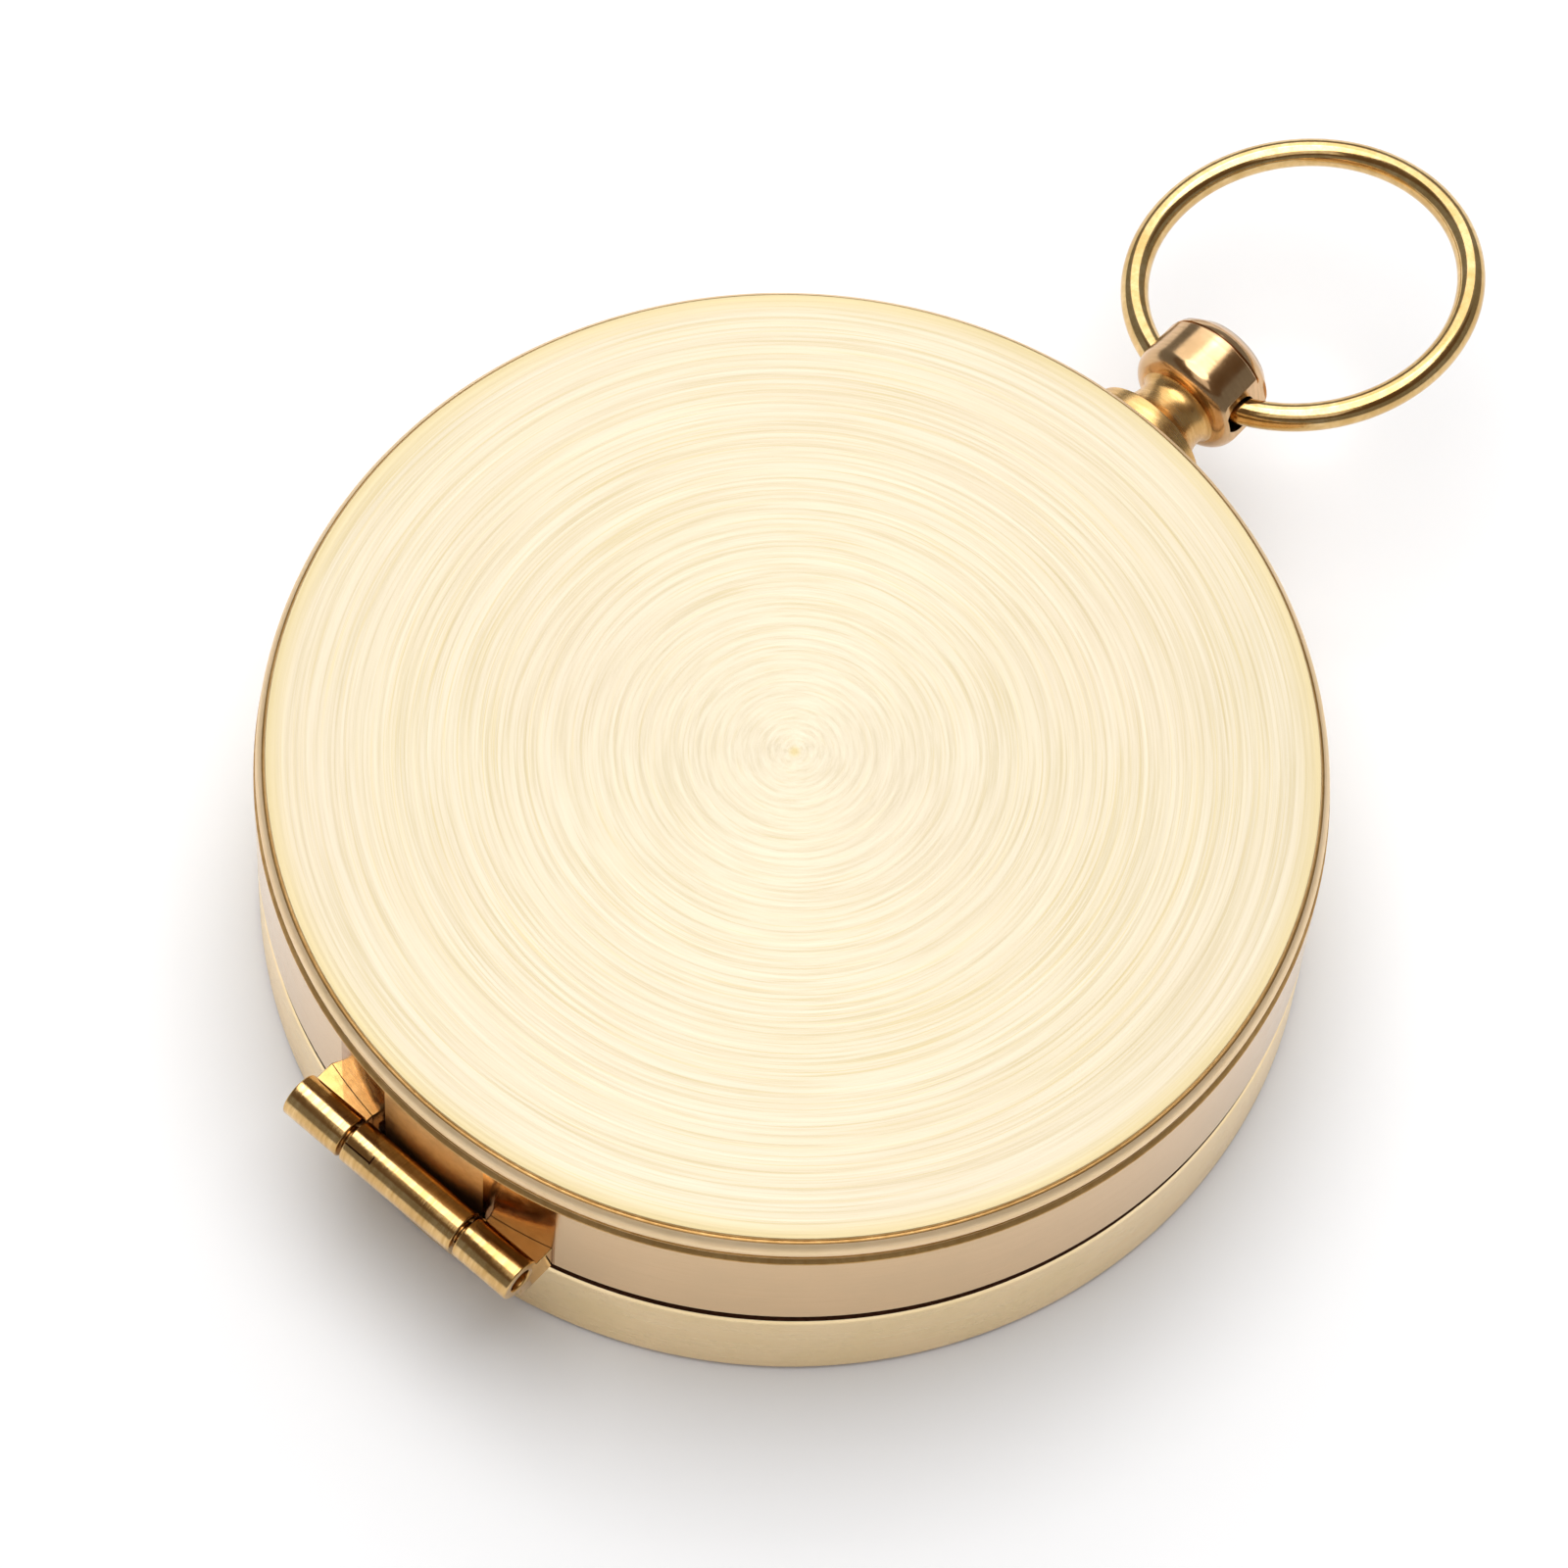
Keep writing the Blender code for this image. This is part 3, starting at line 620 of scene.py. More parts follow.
def build_lid():
    """The cover, from the face's middle out over the bead, down the wall and back inside."""
    groove_top = (FACE_R - 0.06, CASE_H - 0.2)
    groove_low = (BEAD_CENTRE[0] + 0.34, SHOULDER_Z + 0.08)
    outline = [
        (0, CASE_H),
        (FACE_R, CASE_H, 0.04),
        (FACE_R + 0.05, CASE_H - 0.1),
        groove_top,
        *arc(BEAD_CENTRE, BEAD_R, 64, -46, 14),
        groove_low,
        (CASE_R - 0.2, SHOULDER_Z, 0.04),
        (CASE_R, SHOULDER_Z - 0.22, 0.12),
        (CASE_R, LID_BOTTOM + REBATE_HIGH, 0.03),
        (CASE_R - 0.2, LID_BOTTOM + 0.2),
        (CASE_R - 0.24, LID_BOTTOM),
        (LID_INNER_R, LID_BOTTOM, 0.12),
        (LID_INNER_R, LID_CEILING, 0.6),
        (0, LID_CEILING),
    ]
    mats = [FACE, LID_WALL, TURNED, SEAM_SHADE, GROOVE_SHADE, BEAD, LUG_REFLECTION, KNUCKLE_REFLECTION]
    made = lathe("lid_case", rounded(outline, 6), mats, CASE_STEPS, zone=lid_zone)
    stand_for(made, "lid_shell")


def wall_drum(radius, low, high):
    """A cutter of the case's shape, so that a part fitted to the wall follows it."""
    return lathe("drum", rod(radius, low, high), KNUCKLE, CASE_STEPS)


def along_hinge():
    """Lays a profile's axis along the hinge's, which runs along X."""
    return Matrix.Translation(HINGE) @ Matrix.Rotation(pi / 2, 4, "Y")


def along_y(height):
    """Lays a profile's axis along Y at a height, as the pendant's and the gnomon's are."""
    return Matrix.Translation((0, 0, height)) @ Matrix.Rotation(-pi / 2, 4, "X")


def hinge_tube(name, low, high):
    """A knuckle about the hinge's axis, with rounded rims."""
    outline = flat_ring(BORE_R, KNUCKLE_R, low, high, 0.09)
    return lathe(name, outline, KNUCKLE, closed=True, turn=along_hinge())


def hinge_bore():
    """A cutter through a hinge part round the pin, longer than the whole hinge."""
    return lathe("bore", rod(LUG_BORE_R, -9, 9), KNUCKLE, turn=along_hinge())


def block(name, low, high, mat, edge=0.0):
    """A box from its lowest corner to its highest, with its edges bevelled if edge is given."""
    outline = [(low[0], low[1]), (high[0], low[1]), (high[0], high[1]), (low[0], high[1])]
    made = prism(name, outline, low[2], high[2], mat)
    return bevel(made, edge) if edge else made


def build_lid_knuckle(name, cad_node):
    """A knuckle of the lid with its lug, which is cut to fit the wall."""
    low, high = corners(cad_node)
    made = hinge_tube(name, low.x, high.x)
    lug_low = (low.x + LUG_INSET, HINGE.y + 0.07, LID_BOTTOM + 0.05)
    lug_high = (high.x - LUG_INSET, HINGE.y + LUG_REACH, LUG_TOP)
    lug = block("lug", lug_low, lug_high, KNUCKLE, 0.07)
    combine(lug, hinge_bore(), "DIFFERENCE")
    combine(lug, wall_drum(SADDLE_R, 0, CASE_H), "DIFFERENCE")
    combine(made, lug, "UNION")
    rezone(made, [KNUCKLE, LUG], lambda middle: LUG if middle.y > HINGE.y + 0.75 else KNUCKLE)
    stand_for(made, cad_node)


def build_base_knuckle():
    """The centre knuckle, rolled from its leaf, with the roll's seam in part of its length."""
    made = hinge_tube("base_hinge_knuckle", -KNUCKLE_END, KNUCKLE_END)
    side = [
        (HINGE.y - 0.98, HINGE.z - 0.35),
        (HINGE.y - 0.62, HINGE.z - 1.3, 0.3),
        (HINGE.y + 0.35, LEAF_BOTTOM + 0.8, 0.5),
        (HINGE.y + 0.85, LEAF_BOTTOM, 0.15),
        (HINGE.y + LEAF_REACH, LEAF_BOTTOM),
        (HINGE.y + LEAF_REACH, HINGE.z - 0.6),
    ]
    stand = Matrix(((0, 0, 1, 0), (1, 0, 0, 0), (0, 1, 0, 0), (0, 0, 0, 1)))
    half = KNUCKLE_END - LUG_INSET
    leaf = prism("leaf", rounded(side), -half, half, KNUCKLE, turn=stand)
    combine(leaf, hinge_bore(), "DIFFERENCE")
    combine(leaf, wall_drum(SADDLE_R, 0, BASE_TOP + 0.02), "DIFFERENCE")
    combine(leaf, wall_drum(CASE_R + LEAF_GAP, BASE_TOP, CASE_H), "DIFFERENCE")
    combine(made, leaf, "UNION")
    slit_end = -KNUCKLE_END + SLIT_LENGTH
    cuts = (
        ("slit", -KNUCKLE_END - 0.2, SLIT_TURN, SLIT_WIDTH),
        ("nick", slit_end - NICK_LENGTH, NICK_TURN, NICK_WIDTH),
    )
    for name, start, degrees_round, wide in cuts:
        cutter_low = (start, -wide / 2, KNUCKLE_R - SLIT_DEPTH)
        cutter = block(name, cutter_low, (slit_end, wide / 2, 2), KNUCKLE)
        move(cutter, Matrix.Translation(HINGE) @ Matrix.Rotation(radians(degrees_round), 4, "X"))
        combine(made, cutter, "DIFFERENCE")
    # The knuckle's side towards the case and its slit get painted shade
    rezone(made, [KNUCKLE, SEAM_SHADE], knuckle_zone)
    stand_for(made, "base_knuckle")


def knuckle_zone(middle):
    """Painted shade on the side towards the case, and in the slit."""
    inside = middle.y > HINGE.y + 0.62 and middle.z < HINGE.z + 0.3
    off_axis = hypot(middle.y - HINGE.y, middle.z - HINGE.z)
    cut_in = LUG_BORE_R < off_axis < KNUCKLE_R - 0.02 and abs(middle.x) < KNUCKLE_END - 0.12
    return SEAM_SHADE if inside or cut_in else KNUCKLE


def build_pin():
    low, high = corners("hinge_pin")
    radius = (high.z - low.z) / 2
    outline = [(0, high.x), (radius, high.x, 0.15), (radius, low.x, 0.15), (0, low.x)]
    made = lathe("hinge_pin_turned", rounded(outline), KNUCKLE, 48, turn=along_hinge())
    stand_for(made, "hinge_pin")


# Pendant and bow

def build_pendant():
    """The post: dome, head with two flats, neck and collar, on a shank through the lid's wall."""
    dome_top = corners("pendant_post")[1].y
    shoulder = HEAD_R - 0.95
    profile = [
        (0, dome_top),
        (0.9, dome_top - 0.06),
        (1.6, dome_top - 0.2),
        (2.2, dome_top - 0.45),
        (2.6, HEAD_FAR + 0.25),
        (2.85, HEAD_FAR),
        (2.95, HEAD_FAR - 0.3),
        (2.86, HEAD_FAR - 0.34),
        (2.86, HEAD_FAR - 0.42),
        (HEAD_R - 0.03, HEAD_FAR - 0.43),
        (HEAD_R, HEAD_FAR - 0.47),
        *arc((shoulder, HEAD_NEAR + 0.05), HEAD_R - shoulder, 0, -84, 12),
        (2.0, 27.9),
        (NECK_R + 0.02, 27.7),
        (NECK_R, 27.45),
        (NECK_R + 0.05, 27.1),
        (NECK_R + 0.16, 26.7),
        (NECK_R + 0.3, 26.35),
        (2.35, 26.14),
        (2.6, 26.0),
        (COLLAR_R - 0.1, 25.92),
        (COLLAR_R - 0.02, 25.86),
        (COLLAR_R, 25.78),
        (COLLAR_R, CASE_R - 0.7),
        (0, CASE_R - 0.7),
    ]
    made = lathe("pendant_turned", profile, HEAD, 160, turn=along_y(BOW_HOLE.z))
    combine(made, wall_drum(SADDLE_R, 0, CASE_H + 5), "DIFFERENCE")
    shank = rod(SHANK_R, corners("pendant_post")[0].y, CASE_R + 1.5)
    combine(made, lathe("shank", shank, HEAD, turn=along_y(BOW_HOLE.z)), "UNION")
    along = Matrix.Translation(BOW_HOLE) @ Matrix.Rotation(-PENDANT_TURN, 4, "Y")
    middle = (HEAD_NEAR + HEAD_FAR) / 2 - BOW_HOLE.y
    for low, high in ((FLAT_HALF, 5), (-5, -FLAT_HALF)):
        flat = block("flat", (low, middle + FLAT_NEAR, -4), (high, middle + FLAT_FAR, 4), HEAD)
        move(flat, along)
        combine(made, flat, "DIFFERENCE")
    turn = along @ Matrix.Rotation(pi / 2, 4, "Y")
    combine(made, lathe("hole", rod(CROSS_HOLE_R, -5, 5), HEAD, 64, turn=turn), "DIFFERENCE")
    rezone(made, [HEAD, NECK], lambda middle: NECK if middle.y < HEAD_NEAR - 0.95 else HEAD)
    stand_for(made, "pendant_post")


def build_nut():
    """The hexagonal nut that holds the post from inside the lid."""
    low, high = corners("pendant_nut")
    corner_r, turn = 2.2, along_y(BOW_HOLE.z)
    hexagon = [polar(corner_r, 60 * i) for i in range(6)]
    made = prism("pendant_hex_nut", hexagon, low.y, high.y, PLATE, turn=turn)
    bevel(made, 0.12)
    bore = rod(SHANK_R + 0.04, low.y - 1, high.y + 1)
    combine(made, lathe("nut_bore", bore, PLATE, 48, turn=turn), "DIFFERENCE")
    stand_for(made, "pendant_nut")


def build_bow():
    """A round wire ring, whose ends meet with a hair's breadth between them inside the pendant."""
    wire_r, centre_r, centre_y, split = 0.685, 8.17, 37.5, 0.1
    start = asin(split / centre_r)
    count = 240
    angles = [start + 2 * (pi - start) * i / count for i in range(count + 1)]
    turn = Matrix.Rotation(-PENDANT_TURN, 3, "Y")
    middle = Vector((0, centre_y, BOW_HOLE.z))
    path = [middle + turn @ Vector((centre_r * sin(a), -centre_r * cos(a), 0)) for a in angles]
    made = tube("bow_wire", path, wire_r, 40, WIRE)
    stand_for(made, "bow_ring")


# Marks that are engraved or printed, and filled with ink

def stroke(start, end, width):
    """A straight mark of one width, as an outline."""
    along = Vector((end[0] - start[0], end[1] - start[1])).normalized() * width / 2
    side = (-along.y, along.x)
    ends = [(start, 1), (start, -1), (end, -1), (end, 1)]
    return [(p[0] + s * side[0], p[1] + s * side[1]) for p, s in ends]


def circle_mark(radius, width):
    """A thin ring, as a chain of short outlines."""
    inner, outer = radius - width / 2, radius + width / 2
    bearings = range(0, 361, 2)
    return [
        [polar(inner, a), polar(outer, a), polar(outer, b), polar(inner, b)]
        for a, b in zip(bearings, bearings[1:])
    ]


def ink(name, outlines, height, mat):
    """Marks as thin solids that stand a little out of a surface of the base at one height."""
    work = bmesh.new()
    for outline in outlines:
        add_prism(work, outline, height - INK_DEPTH, height + INK_PROUD)
    add_detail(make(name, work, mat), "base")


# For a height of 1: width, strokes from point to point with their widths, and the places of the
# serifs at the top and at the foot
ROMAN = {
    "I": (0.34, [((0.17, 0), (0.17, 1), 0.15)], [0.17], [0.17]),
    "V": (0.74, [((0.14, 1), (0.37, 0), 0.15), ((0.60, 1), (0.37, 0), 0.07)], [0.14, 0.60], []),
    "X": (0.78, [((0.14, 1), (0.64, 0), 0.15), ((0.64, 1), (0.14, 0), 0.07)],
          [0.14, 0.64], [0.14, 0.64]),
}
NUMERALS = ["XII", "I", "II", "III", "IIII", "V", "VI", "VII", "VIII", "IX", "X", "XI"]


def numeral(text, height, radius, bearing):
    """A roman numeral's strokes and serifs, upright towards the rim."""
    gap = 0.06
    width = sum(ROMAN[letter][0] for letter in text) + gap * (len(text) - 1)
    x = -width / 2
    flat = []
    for letter in text:
        wide, strokes, tops, feet = ROMAN[letter]
        for a, b, thick in strokes:
            flat.append(stroke((x + a[0], a[1]), (x + b[0], b[1]), thick))
        for level, places in ((1, tops), (0, feet)):
            for place in places:
                flat.append(stroke((x + place - 0.15, level), (x + place + 0.15, level), 0.07))
        x += wide + gap
    out = Vector(polar(1, bearing))
    across = Vector((out.y, -out.x))
    return [
        [tuple(out * (radius + (p[1] - 0.5) * height) + across * p[0] * height) for p in outline]
        for outline in flat
    ]


def words(text, size, radius, bearing):
    """Letters or figures as a thin solid mesh, upright towards the rim."""
    curve = bpy.data.curves.new("letters", "FONT")
    curve.body = text
    curve.size = size
    curve.extrude = 0.016
    curve.align_x = "CENTER"
    curve.align_y = "CENTER"
    holder = bpy.data.objects.new("letters", curve)
    bpy.context.scene.collection.objects.link(holder)
    bpy.context.view_layer.update()
    graph = bpy.context.evaluated_depsgraph_get()
    mesh = bpy.data.meshes.new_from_object(holder.evaluated_get(graph))
    upright = Matrix.Rotation(radians(bearing - 90), 4, "Z")
    mesh.transform(upright @ Matrix.Translation((0, radius, 0)))
    bpy.data.objects.remove(holder, do_unlink=True)
    return mesh


# Hour ring

def hour_point(hour, radius):
    """Where an hour's line, which starts at the style's foot, crosses a circle."""
    angle = atan2(sin(radians(LATITUDE)) * sin(radians(15 * hour)), cos(radians(15 * hour)))
    along = Vector((sin(angle), cos(angle)))
    foot = Vector((0, STYLE_FOOT))
    middle = -foot.dot(along)
    reach = middle + sqrt(middle * middle - foot.length_squared + radius * radius)
    return foot + along * reach


def build_hour_ring():
    """The silvered dial, sunk for its screws, with its lines and numerals."""
    outer = HOUR_HIGH.x
    outline = [
        (outer, HOUR_HIGH.z, 0.12),
        (outer, HOUR_LOW.z, 0.08),
        (DIAL_INNER, HOUR_LOW.z, 0.05),
        (DIAL_INNER, HOUR_HIGH.z - DIAL_BEVEL, 0.08),
        (DIAL_INNER + DIAL_BEVEL, HOUR_HIGH.z, 0.08),
    ]
    made = lathe("hour_ring_silvered", rounded(outline), SILVERED, CASE_STEPS, closed=True)
    for number in range(1, 5):
        low, high = corners(f"hour_screw_{number}")
        middle = (low + high) / 2
        wide, seat, bore = SCREW_HEAD_R + 0.08, HOUR_HIGH.z - 0.7, SCREW_SHANK_R + 0.06
        sink = [(0, 9), (wide, 9), (wide, seat), (bore, seat), (bore, 2), (0, 2)]
        turn = Matrix.Translation((middle.x, middle.y, 0))
        combine(made, lathe("sink", sink, SILVERED, 64, turn=turn), "DIFFERENCE")
    stand_for(made, "hour_ring")
    marks = []
    for hour in range(-7, 8):
        marks.append(stroke(hour_point(hour, HOUR_LINE[0]), hour_point(hour, HOUR_LINE[1]), BOLD))
    for quarter in range(-30, 31):
        inner = QUARTER_IN if quarter % 2 else HALF_HOUR_IN
        if quarter % 4:
            start, end = hour_point(quarter / 4, inner), hour_point(quarter / 4, CHAPTER[1])
            marks.append(stroke(start, end, FINE))
    for radius, width in ((CHAPTER[0], FINE), (CHAPTER[1], FINE), (outer - 0.45, 0.1)):
        marks += circle_mark(radius, width)
    for hour in range(-7, 8):
        spot = hour_point(hour, NUMERAL_R)
        bearing = degrees(atan2(spot.y, spot.x))
        marks += numeral(NUMERALS[hour % 12], NUMERAL_HIGH, NUMERAL_R, bearing)
    kept = [mark for mark in marks if not near_lug(mark)]
    ink("hour_marks", kept, HOUR_HIGH.z, INK)


def near_lug(outline):
    """Whether a mark would run under one of the gnomon's lugs."""
    low, high = corners("gnomon_lug_north")
    return any(abs(x) < high.x + 0.15 and low.y - 0.15 < abs(y) < high.y + 0.15 for x, y in outline)


def build_screws():
    """Four slotted screws, each stopped at its own angle."""
    slot_half, slot_depth = 0.2, 0.35
    for number in range(1, 5):
        low, high = corners(f"hour_screw_{number}")
        middle = (low + high) / 2
        top, seat = high.z, HOUR_HIGH.z - 0.67
        profile = [
            (0, top),
            (SCREW_HEAD_R, top, 0.14),
            (SCREW_HEAD_R, seat, 0.05),
            (SCREW_SHANK_R, seat),
            (SCREW_SHANK_R, low.z),
            (0, low.z),
        ]
        slot_turn = Matrix.Rotation(1.3 * number * number, 4, "Z")
        turn = Matrix.Translation((middle.x, middle.y, 0)) @ slot_turn
        made = lathe(f"screw_{number}", rounded(profile), STEEL, 64, turn=turn)
        slot = block("slot", (-3, -slot_half, top - slot_depth), (3, slot_half, top + 1), STEEL)
        move(slot, turn)
        combine(made, slot, "DIFFERENCE")
        stand_for(made, f"hour_screw_{number}")


# Compass

def build_card():
    """The compass card, with its degree ring, rose, letters and figures."""
    inner, outer, top = 1.6, CARD_HIGH.x, CARD_HIGH.z
    outline = [(outer, top, 0.04), (outer, CARD_LOW.z), (inner, CARD_LOW.z), (inner, top, 0.04)]
    made = lathe("compass_card_printed", rounded(outline), CARD, CASE_STEPS, closed=True)
    stand_for(made, "compass_card")
    ring_in, ring_out = DEGREE_RING
    marks = []
    for radius, width in ((ring_out, 0.09), (ring_in, 0.09), (ROSE_RING, FINE)):
        marks += circle_mark(radius, width)
    for bearing in range(0, 360, 2):
        start, width = (ring_in, 0.1) if bearing % 10 == 0 else (DEGREE_IN, 0.06)
        marks.append(stroke(polar(start, bearing), polar(ring_out, bearing), width))
    dark, light = [], []
    step = 360 / 16
    for point in range(16):
        bearing = step * point
        waist = 2.9 if point % 2 == 0 else 2.75
        middle, tip = polar(1.9, bearing), polar(ROSE_REACH[point % 4], bearing)
        dark.append([tip, polar(waist, bearing + step / 2), middle])
        light.append([middle, tip, polar(waist, bearing - step / 2)])
    ink("rose_dark", dark, top, INK)
    ink("rose_light", light, top, RED)
    work = bmesh.new()
    for outline in marks:
        add_prism(work, outline, top - INK_DEPTH, top + INK_PROUD)
    letter_high, letter_r, figure_high, figure_r = 2.6, 13.0, 1.5, 13.3
    quarters = (("N", 90), ("E", 0), ("S", 270), ("W", 180))
    letters = [(text, letter_high, letter_r, bearing) for text, bearing in quarters]
    for number in range(30, 360, 30):
        if number % 90:
            letters.append((str(number), figure_high, figure_r, 90 - number))
    for text, size, radius, bearing in letters:
        mesh = words(text, size, radius, bearing)
        mesh.transform(Matrix.Translation((0, 0, top)))
        work.from_mesh(mesh)
    add_detail(make("card_marks", work, INK), "base")


def build_bowl():
    """The ring that holds the compass glass, the glass, and its packing."""
    low, high = corners("bowl_ring")
    inner, slope = BOWL_RING_IN, 0.5
    outline = [
        (high.x, high.z, 0.05),
        (high.x, low.z, 0.05),
        (inner, low.z, 0.05),
        (inner, high.z - slope, 0.08),
        (inner + slope, high.z, 0.08),
    ]
    made = lathe("bowl_ring_turned", rounded(outline), TURNED, CASE_STEPS, closed=True)
    stand_for(made, "bowl_ring")
    low, high = corners("compass_glass")
    pane = [(0, high.z), (high.x, high.z, 0.08), (high.x, low.z, 0.08), (0, low.z)]
    stand_for(lathe("compass_pane", rounded(pane), GLASS, CASE_STEPS), "compass_glass")
    low, high = corners("glass_gasket")
    section = flat_ring(PACKING_IN, high.x, low.z, high.z, 0.05)
    made = lathe("glass_packing", section, LEATHER, CASE_STEPS, closed=True)
    stand_for(made, "glass_gasket")


def build_pivot():
    """The boss in the middle of the floor, and the point that the needle turns on."""
    low, high = corners("pivot_boss")
    boss_r, shank_r, socket_r = high.x, 0.8, 0.32
    flange_low, socket_low = 1.05, 1.1
    boss = [
        (0, socket_low),
        (socket_r, socket_low),
        (socket_r, high.z, 0.04),
        (boss_r, high.z, 0.2),
        (boss_r, flange_low),
        (shank_r, flange_low),
        (shank_r, low.z),
        (0, low.z),
    ]
    made = lathe("pivot_boss_turned", rounded(boss), TURNED)
    stand_for(made, "pivot_boss")
    low, high = corners("needle_pivot")
    pin_r, cone = high.x, 0.65
    point = [(0, high.z), (0.04, high.z - 0.04), (pin_r, high.z - cone), (pin_r, low.z), (0, low.z)]
    stand_for(lathe("needle_pivot_turned", point, STEEL, 48), "needle_pivot")


def build_needle():
    """The needle, blued at its north half and crowned along the middle, and its cap."""
    low, high = corners("compass_needle")
    half, wide, crown, bore_r = high.y, high.x, 0.06, 0.85
    work = bmesh.new()
    tips = [(0, half), (-wide, 0), (0, -half), (wide, 0)]
    lower = [work.verts.new((x, y, low.z)) for x, y in tips]
    sides = [work.verts.new((x, y, high.z - crown)) for x, y in tips]
    ridge = work.verts.new((0, 0, high.z))
    for i in range(4):
        j = (i + 1) % 4
        work.faces.new([lower[i], lower[j], sides[j], sides[i]])
        work.faces.new([sides[i], sides[j], ridge])
    centre = work.verts.new((0, 0, low.z))
    for i in range(4):
        work.faces.new([lower[(i + 1) % 4], lower[i], centre])
    north_blued = lambda middle: BLUED if middle.y > 0 else STEEL
    made = make("needle_blade", work, [BLUED, STEEL], north_blued)
    combine(made, lathe("needle_bore", rod(bore_r, 0, 9), BLUED, 64), "DIFFERENCE")
    bevel(made, 0.03, 2)
    stand_for(made, "compass_needle")
    low, high = corners("needle_cap")
    flange, dome_r, stem_r, cup_r, cup_top = 2.73, 0.45, 0.8, 0.55, 2.86
    cap = [
        (0, high.z),
        *arc((0, high.z - dome_r), dome_r, 70, 10, 6),
        (0.62, flange + 0.2),
        (high.x - 0.04, flange + 0.15),
        (high.x, flange + 0.1),
        (high.x, flange),
        (stem_r, flange),
        (stem_r, low.z),
        (cup_r, low.z),
        (0, cup_top),
    ]
    stand_for(lathe("needle_cap_turned", cap, PLATE), "needle_cap")


# Gnomon

def build_lugs():
    """The two bearings of the gnomon's rod, with sloping shoulders."""
    for name in ("gnomon_lug_south", "gnomon_lug_north"):
        low, high = corners(name)
        half, crest, foot = high.x, high.z, HOUR_HIGH.z + 0.05
        crest_half, bore_r = half * 0.72, 0.44
        side = [
            (-half, foot, 0.12),
            (half, foot, 0.12),
            (half, PINTLE_Z, 0.2),
            (crest_half, crest, 0.45),
            (-crest_half, crest, 0.45),
            (-half, PINTLE_Z, 0.2),
        ]
        upright = Matrix(((1, 0, 0, 0), (0, 0, 1, 0), (0, 1, 0, 0), (0, 0, 0, 1)))
        made = prism(name + "_dressed", rounded(side, 5), low.y, high.y, PLATE, turn=upright)
        bevel(made, 0.08)
        bore = lathe("lug_bore", rod(bore_r, -30, 30), PLATE, 48, turn=along_y(PINTLE_Z))
        combine(made, bore, "DIFFERENCE")
        stand_for(made, name)


def gnomon_outline():
    """The plate lying flat: its height runs along X, and the style rises from the south end."""
    peak = STYLE_FOOT + STYLE_HEIGHT / tan(radians(LATITUDE))
    a, b = Vector((STYLE_HEIGHT, peak)), Vector((0.48 * STYLE_HEIGHT, peak + 0.4))
    c, d = Vector((0.35 * STYLE_HEIGHT, peak + 4.5)), Vector((0.2, peak + 8.6))
    steps = [i / 32 for i in range(33)]
    back = [
        a * (1 - t) ** 3 + b * 3 * t * (1 - t) ** 2 + c * 3 * t * t * (1 - t) + d * t ** 3
        for t in steps
    ]
    return [(0.2, STYLE_FOOT + 0.2), *[(p.x, p.y) for p in back]]


def build_gnomon():
    """The plate and the rod it swings on, whose thin ends are the pintles."""
    rod_r, pintle_r, rod_half, pintle_half, thick = 0.6, 0.4, 16.5, 17.9, 0.8
    outline = [
        (0, pintle_half),
        (pintle_r, pintle_half, 0.1),
        (pintle_r, rod_half),
        (rod_r, rod_half, 0.08),
        (rod_r, -rod_half, 0.08),
        (pintle_r, -rod_half),
        (pintle_r, -pintle_half, 0.1),
        (0, -pintle_half),
    ]
    made = lathe("gnomon_dressed", rounded(outline), PLATE, 64, turn=along_y(PINTLE_Z))
    plate = prism("plate", gnomon_outline(), PINTLE_Z - thick / 2, PINTLE_Z + thick / 2, PLATE)
    bevel(plate, 0.08)
    combine(made, plate, "UNION")
    stand_for(made, "gnomon")


def build_spring():
    """A coil round the rod, with one leg under the plate and its end at the north lug."""
    start_y, turns, pitch, leg, sides = 12.7, 4, 0.42, 8.0, 36
    under = SPRING_WIRE_R - SPRING_R + 0.18
    near_lug_y = corners("gnomon_lug_north")[0].y - SPRING_WIRE_R - 0.05
    path = [(SPRING_R, start_y - back, under) for back in (leg, 4, 1)]
    for i in range(turns * sides + 1):
        x, z = polar(SPRING_R, 360 * i / sides)
        path.append((x, start_y + pitch * i / sides, -z))
    path.append((SPRING_R, near_lug_y, 0))
    path = [(x, y, z + PINTLE_Z) for x, y, z in path]
    stand_for(tube("gnomon_coil", path, SPRING_WIRE_R, 16, STEEL), "gnomon_spring")


# Camera, floor and light. The camera's bearing turns about Z from looking along +Y.
VIEW_BEARING = 37.0
VIEW_HEIGHT = 63.305
VIEW_ROLL = 5.089
VIEW_DISTANCE = 350.0
VIEW_ASIDE = 0.077
VIEW_UP = 4.805
SENSOR = 36.0
LENS = 167.63


def view_frame():
    """Right, up and forward of the camera."""
    height, bearing = radians(VIEW_HEIGHT), Matrix.Rotation(radians(VIEW_BEARING), 3, "Z")
    forward = bearing @ Vector((0, cos(height), -sin(height)))
    right = bearing @ Vector((1, 0, 0))
    roll = Matrix.Rotation(radians(-VIEW_ROLL), 3, forward)
    return roll @ right, roll @ right.cross(forward), forward


def build_camera():
    right, up, forward = view_frame()
    data = bpy.data.cameras.new("camera")
    data.lens = LENS
    data.sensor_width = SENSOR
    data.clip_start = 0.01
    data.clip_end = 20.0
    camera = bpy.data.objects.new("camera", data)
    place = -forward * VIEW_DISTANCE + right * VIEW_ASIDE + up * VIEW_UP
    turn = Matrix((right, up, -forward)).transposed().to_4x4()
    camera.matrix_world = Matrix.Translation(place * MM) @ turn
    bpy.context.scene.collection.objects.link(camera)
    bpy.context.scene.camera = camera


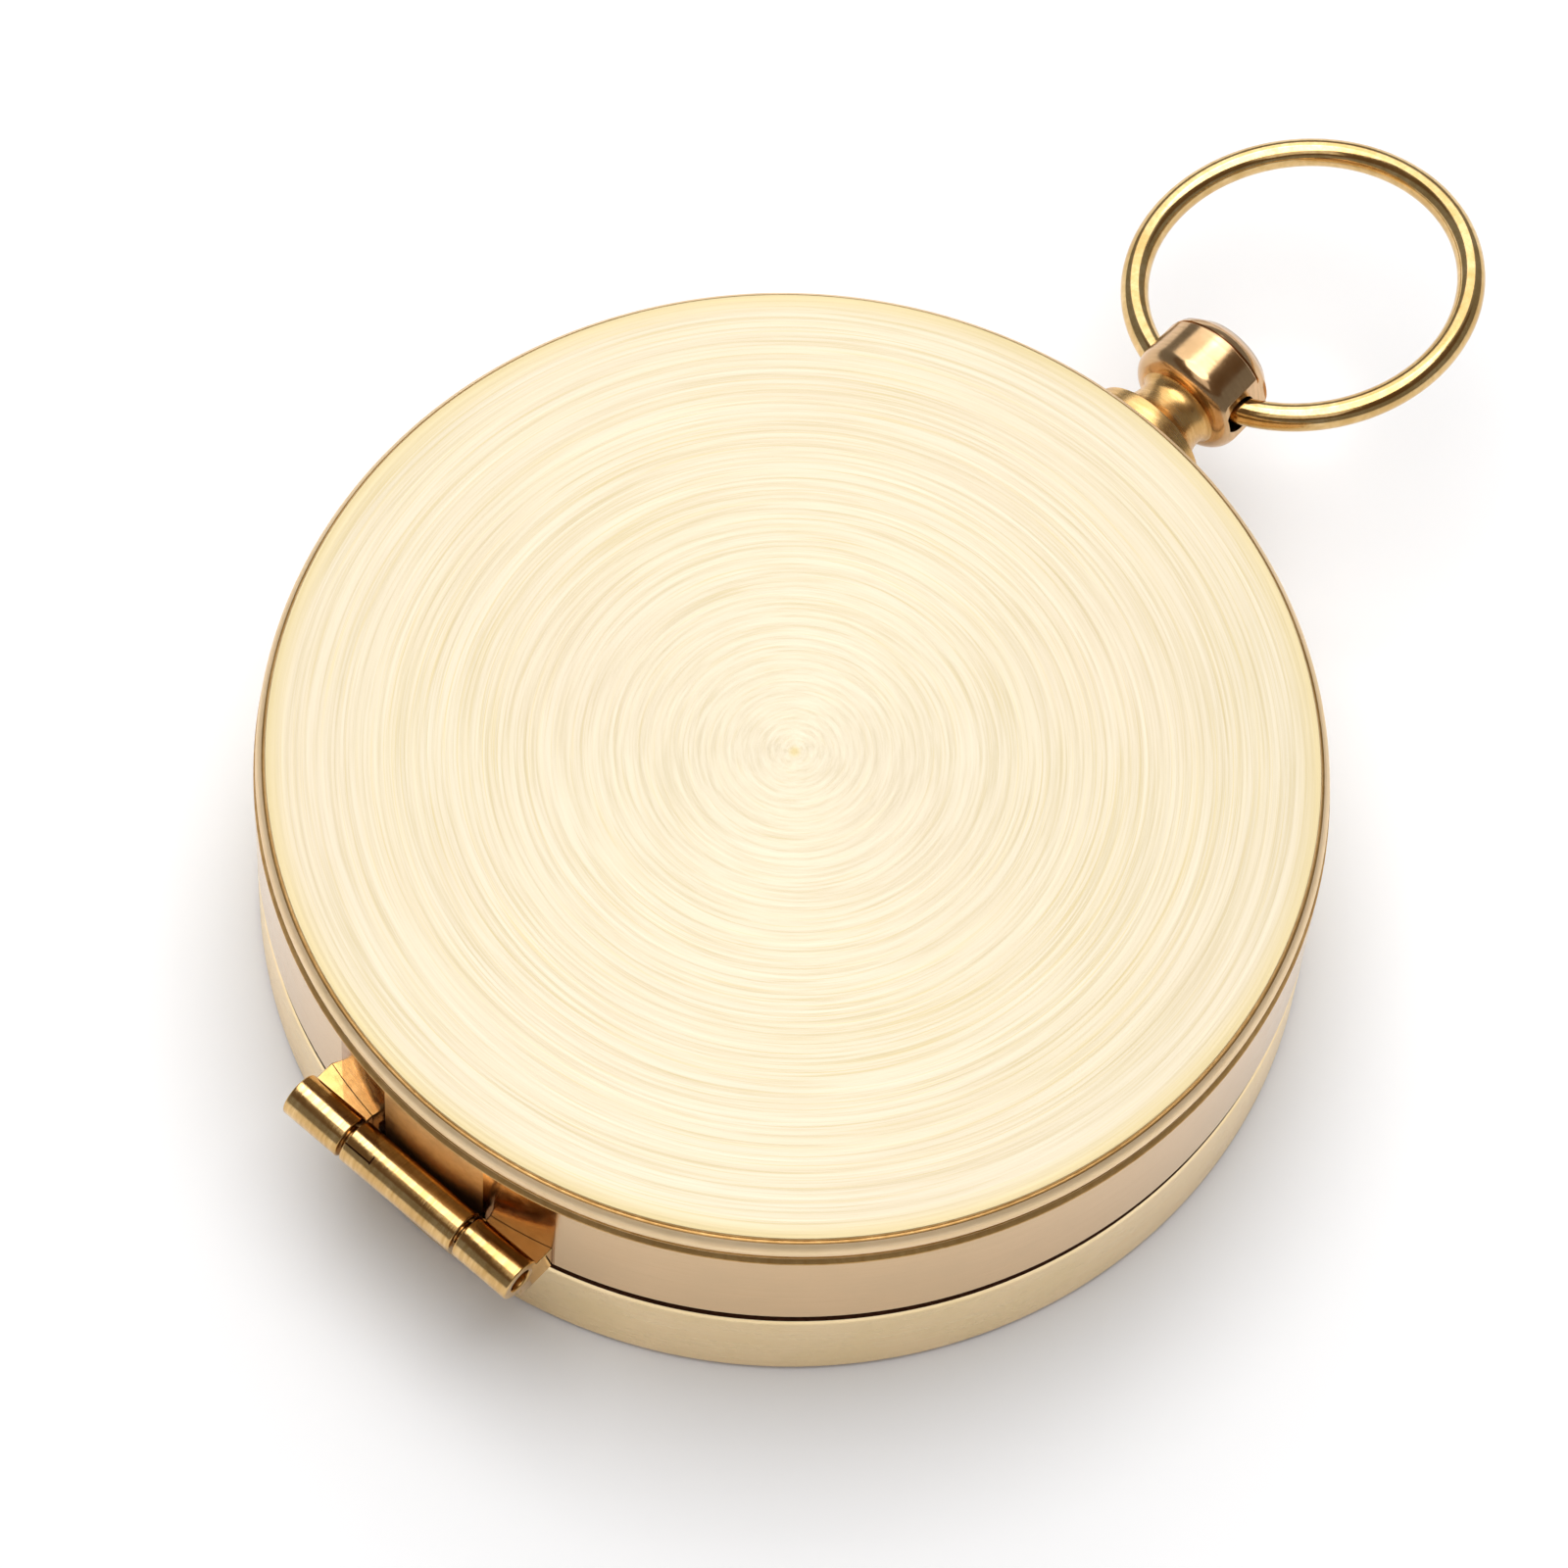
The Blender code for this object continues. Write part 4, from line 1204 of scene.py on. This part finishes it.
def build_floor():
    mat, tree, shader = shader_tree("studio_floor")
    grain = noise(tree, stretched(tree, (0.02, 0.02, 0.02)), detail=2)
    tone = spread(tree, grain, 0.3, 0.7)
    colour = blend(tree, tone, (0.96, 0.96, 0.97), (0.97, 0.97, 0.98))
    feed(tree, shader, {
        "Base Color": colour,
        "Roughness": 0.9,
        "Specular IOR Level": 0.0,
        "Emission Color": (1, 1, 1, 1),
        "Emission Strength": 0.03,
    })
    half, low, top = 4000, -5, -0.01
    square = [(-half, -half), (half, -half), (half, half), (-half, half)]
    prism("floor", square, low, top, mat)


def softbox(name, bearing, height, distance, size, radiance, shape="RECTANGLE"):
    """A soft light that looks at the case, at a bearing from the camera's right and a height."""
    data = bpy.data.lights.new(name, "AREA")
    data.shape = shape
    data.size, data.size_y = size[0] * MM, size[1] * MM
    area = data.size * data.size_y * (pi / 4 if shape == "ELLIPSE" else 1)
    data.energy = radiance * pi * area
    light = bpy.data.objects.new(name, data)
    level, rise = polar(1, height)
    out = Vector((*polar(level, bearing + VIEW_BEARING), rise))
    light.location = out * distance * MM
    light.rotation_mode = "QUATERNION"
    light.rotation_quaternion = out.to_track_quat("Z", "Y")
    light.visible_camera = False
    bpy.context.scene.collection.objects.link(light)


def screen(name, distance, bearings, heights, colour, glow=0.0, in_view=False):
    """A patch of a sphere round the case, seen in reflections or straight, that lights nothing."""
    mat, tree, shader = shader_tree(name)
    feed(tree, shader, {
        "Base Color": (0, 0, 0, 1),
        "Roughness": 1.0,
        "Specular IOR Level": 0.0,
        "Emission Color": (*colour, 1),
        "Emission Strength": glow,
    })
    across, rise = 64, 12
    work = bmesh.new()
    grid = []
    for j in range(rise + 1):
        height = heights[0] + (heights[1] - heights[0]) * j / rise
        reach, level = polar(distance, height)
        turns = [bearings[0] + (bearings[1] - bearings[0]) * i / across for i in range(across + 1)]
        grid.append([work.verts.new((*polar(reach, a + VIEW_BEARING), level)) for a in turns])
    for low, high in zip(grid, grid[1:]):
        for i in range(across):
            work.faces.new([low[i], low[i + 1], high[i + 1], high[i]])
    made = make(name, work, mat)
    made.visible_camera = in_view
    made.visible_glossy = not in_view
    made.visible_diffuse = False
    made.visible_shadow = False
    made.visible_transmission = False


def build_studio():
    world = bpy.data.worlds.new("studio")
    world.use_nodes = True
    background = world.node_tree.nodes["Background"]
    feed(world.node_tree, background, {"Color": (1, 1, 1, 1), "Strength": 0.25})
    bpy.context.scene.world = world
    bpy.context.scene.view_settings.view_transform = "Standard"
    softbox("overhead", 95, 80, 600, (560, 590), 3.27, "ELLIPSE")
    softbox("far_panel", 95, 43, 700, (640, 470), 1.6)
    softbox("near_panel", 258, 62, 700, (480, 290), 0.75)
    screen("backdrop", 3900, (0, 360), (-1, 20), (1, 1, 1), 0.97, in_view=True)
    screen("dark_surround", 900, (140, 400), (34, 70), (1.0, 0.66, 0.38), 0.13)


build_base()
build_lid()
build_lid_knuckle("lid_hinge_knuckle_left", "lid_knuckle_left")
build_lid_knuckle("lid_hinge_knuckle_right", "lid_knuckle_right")
build_base_knuckle()
build_pin()
build_pendant()
build_nut()
build_bow()
build_hour_ring()
build_screws()
build_card()
build_bowl()
build_pivot()
build_needle()
build_lugs()
build_gnomon()
build_spring()
build_camera()
build_floor()
build_studio()
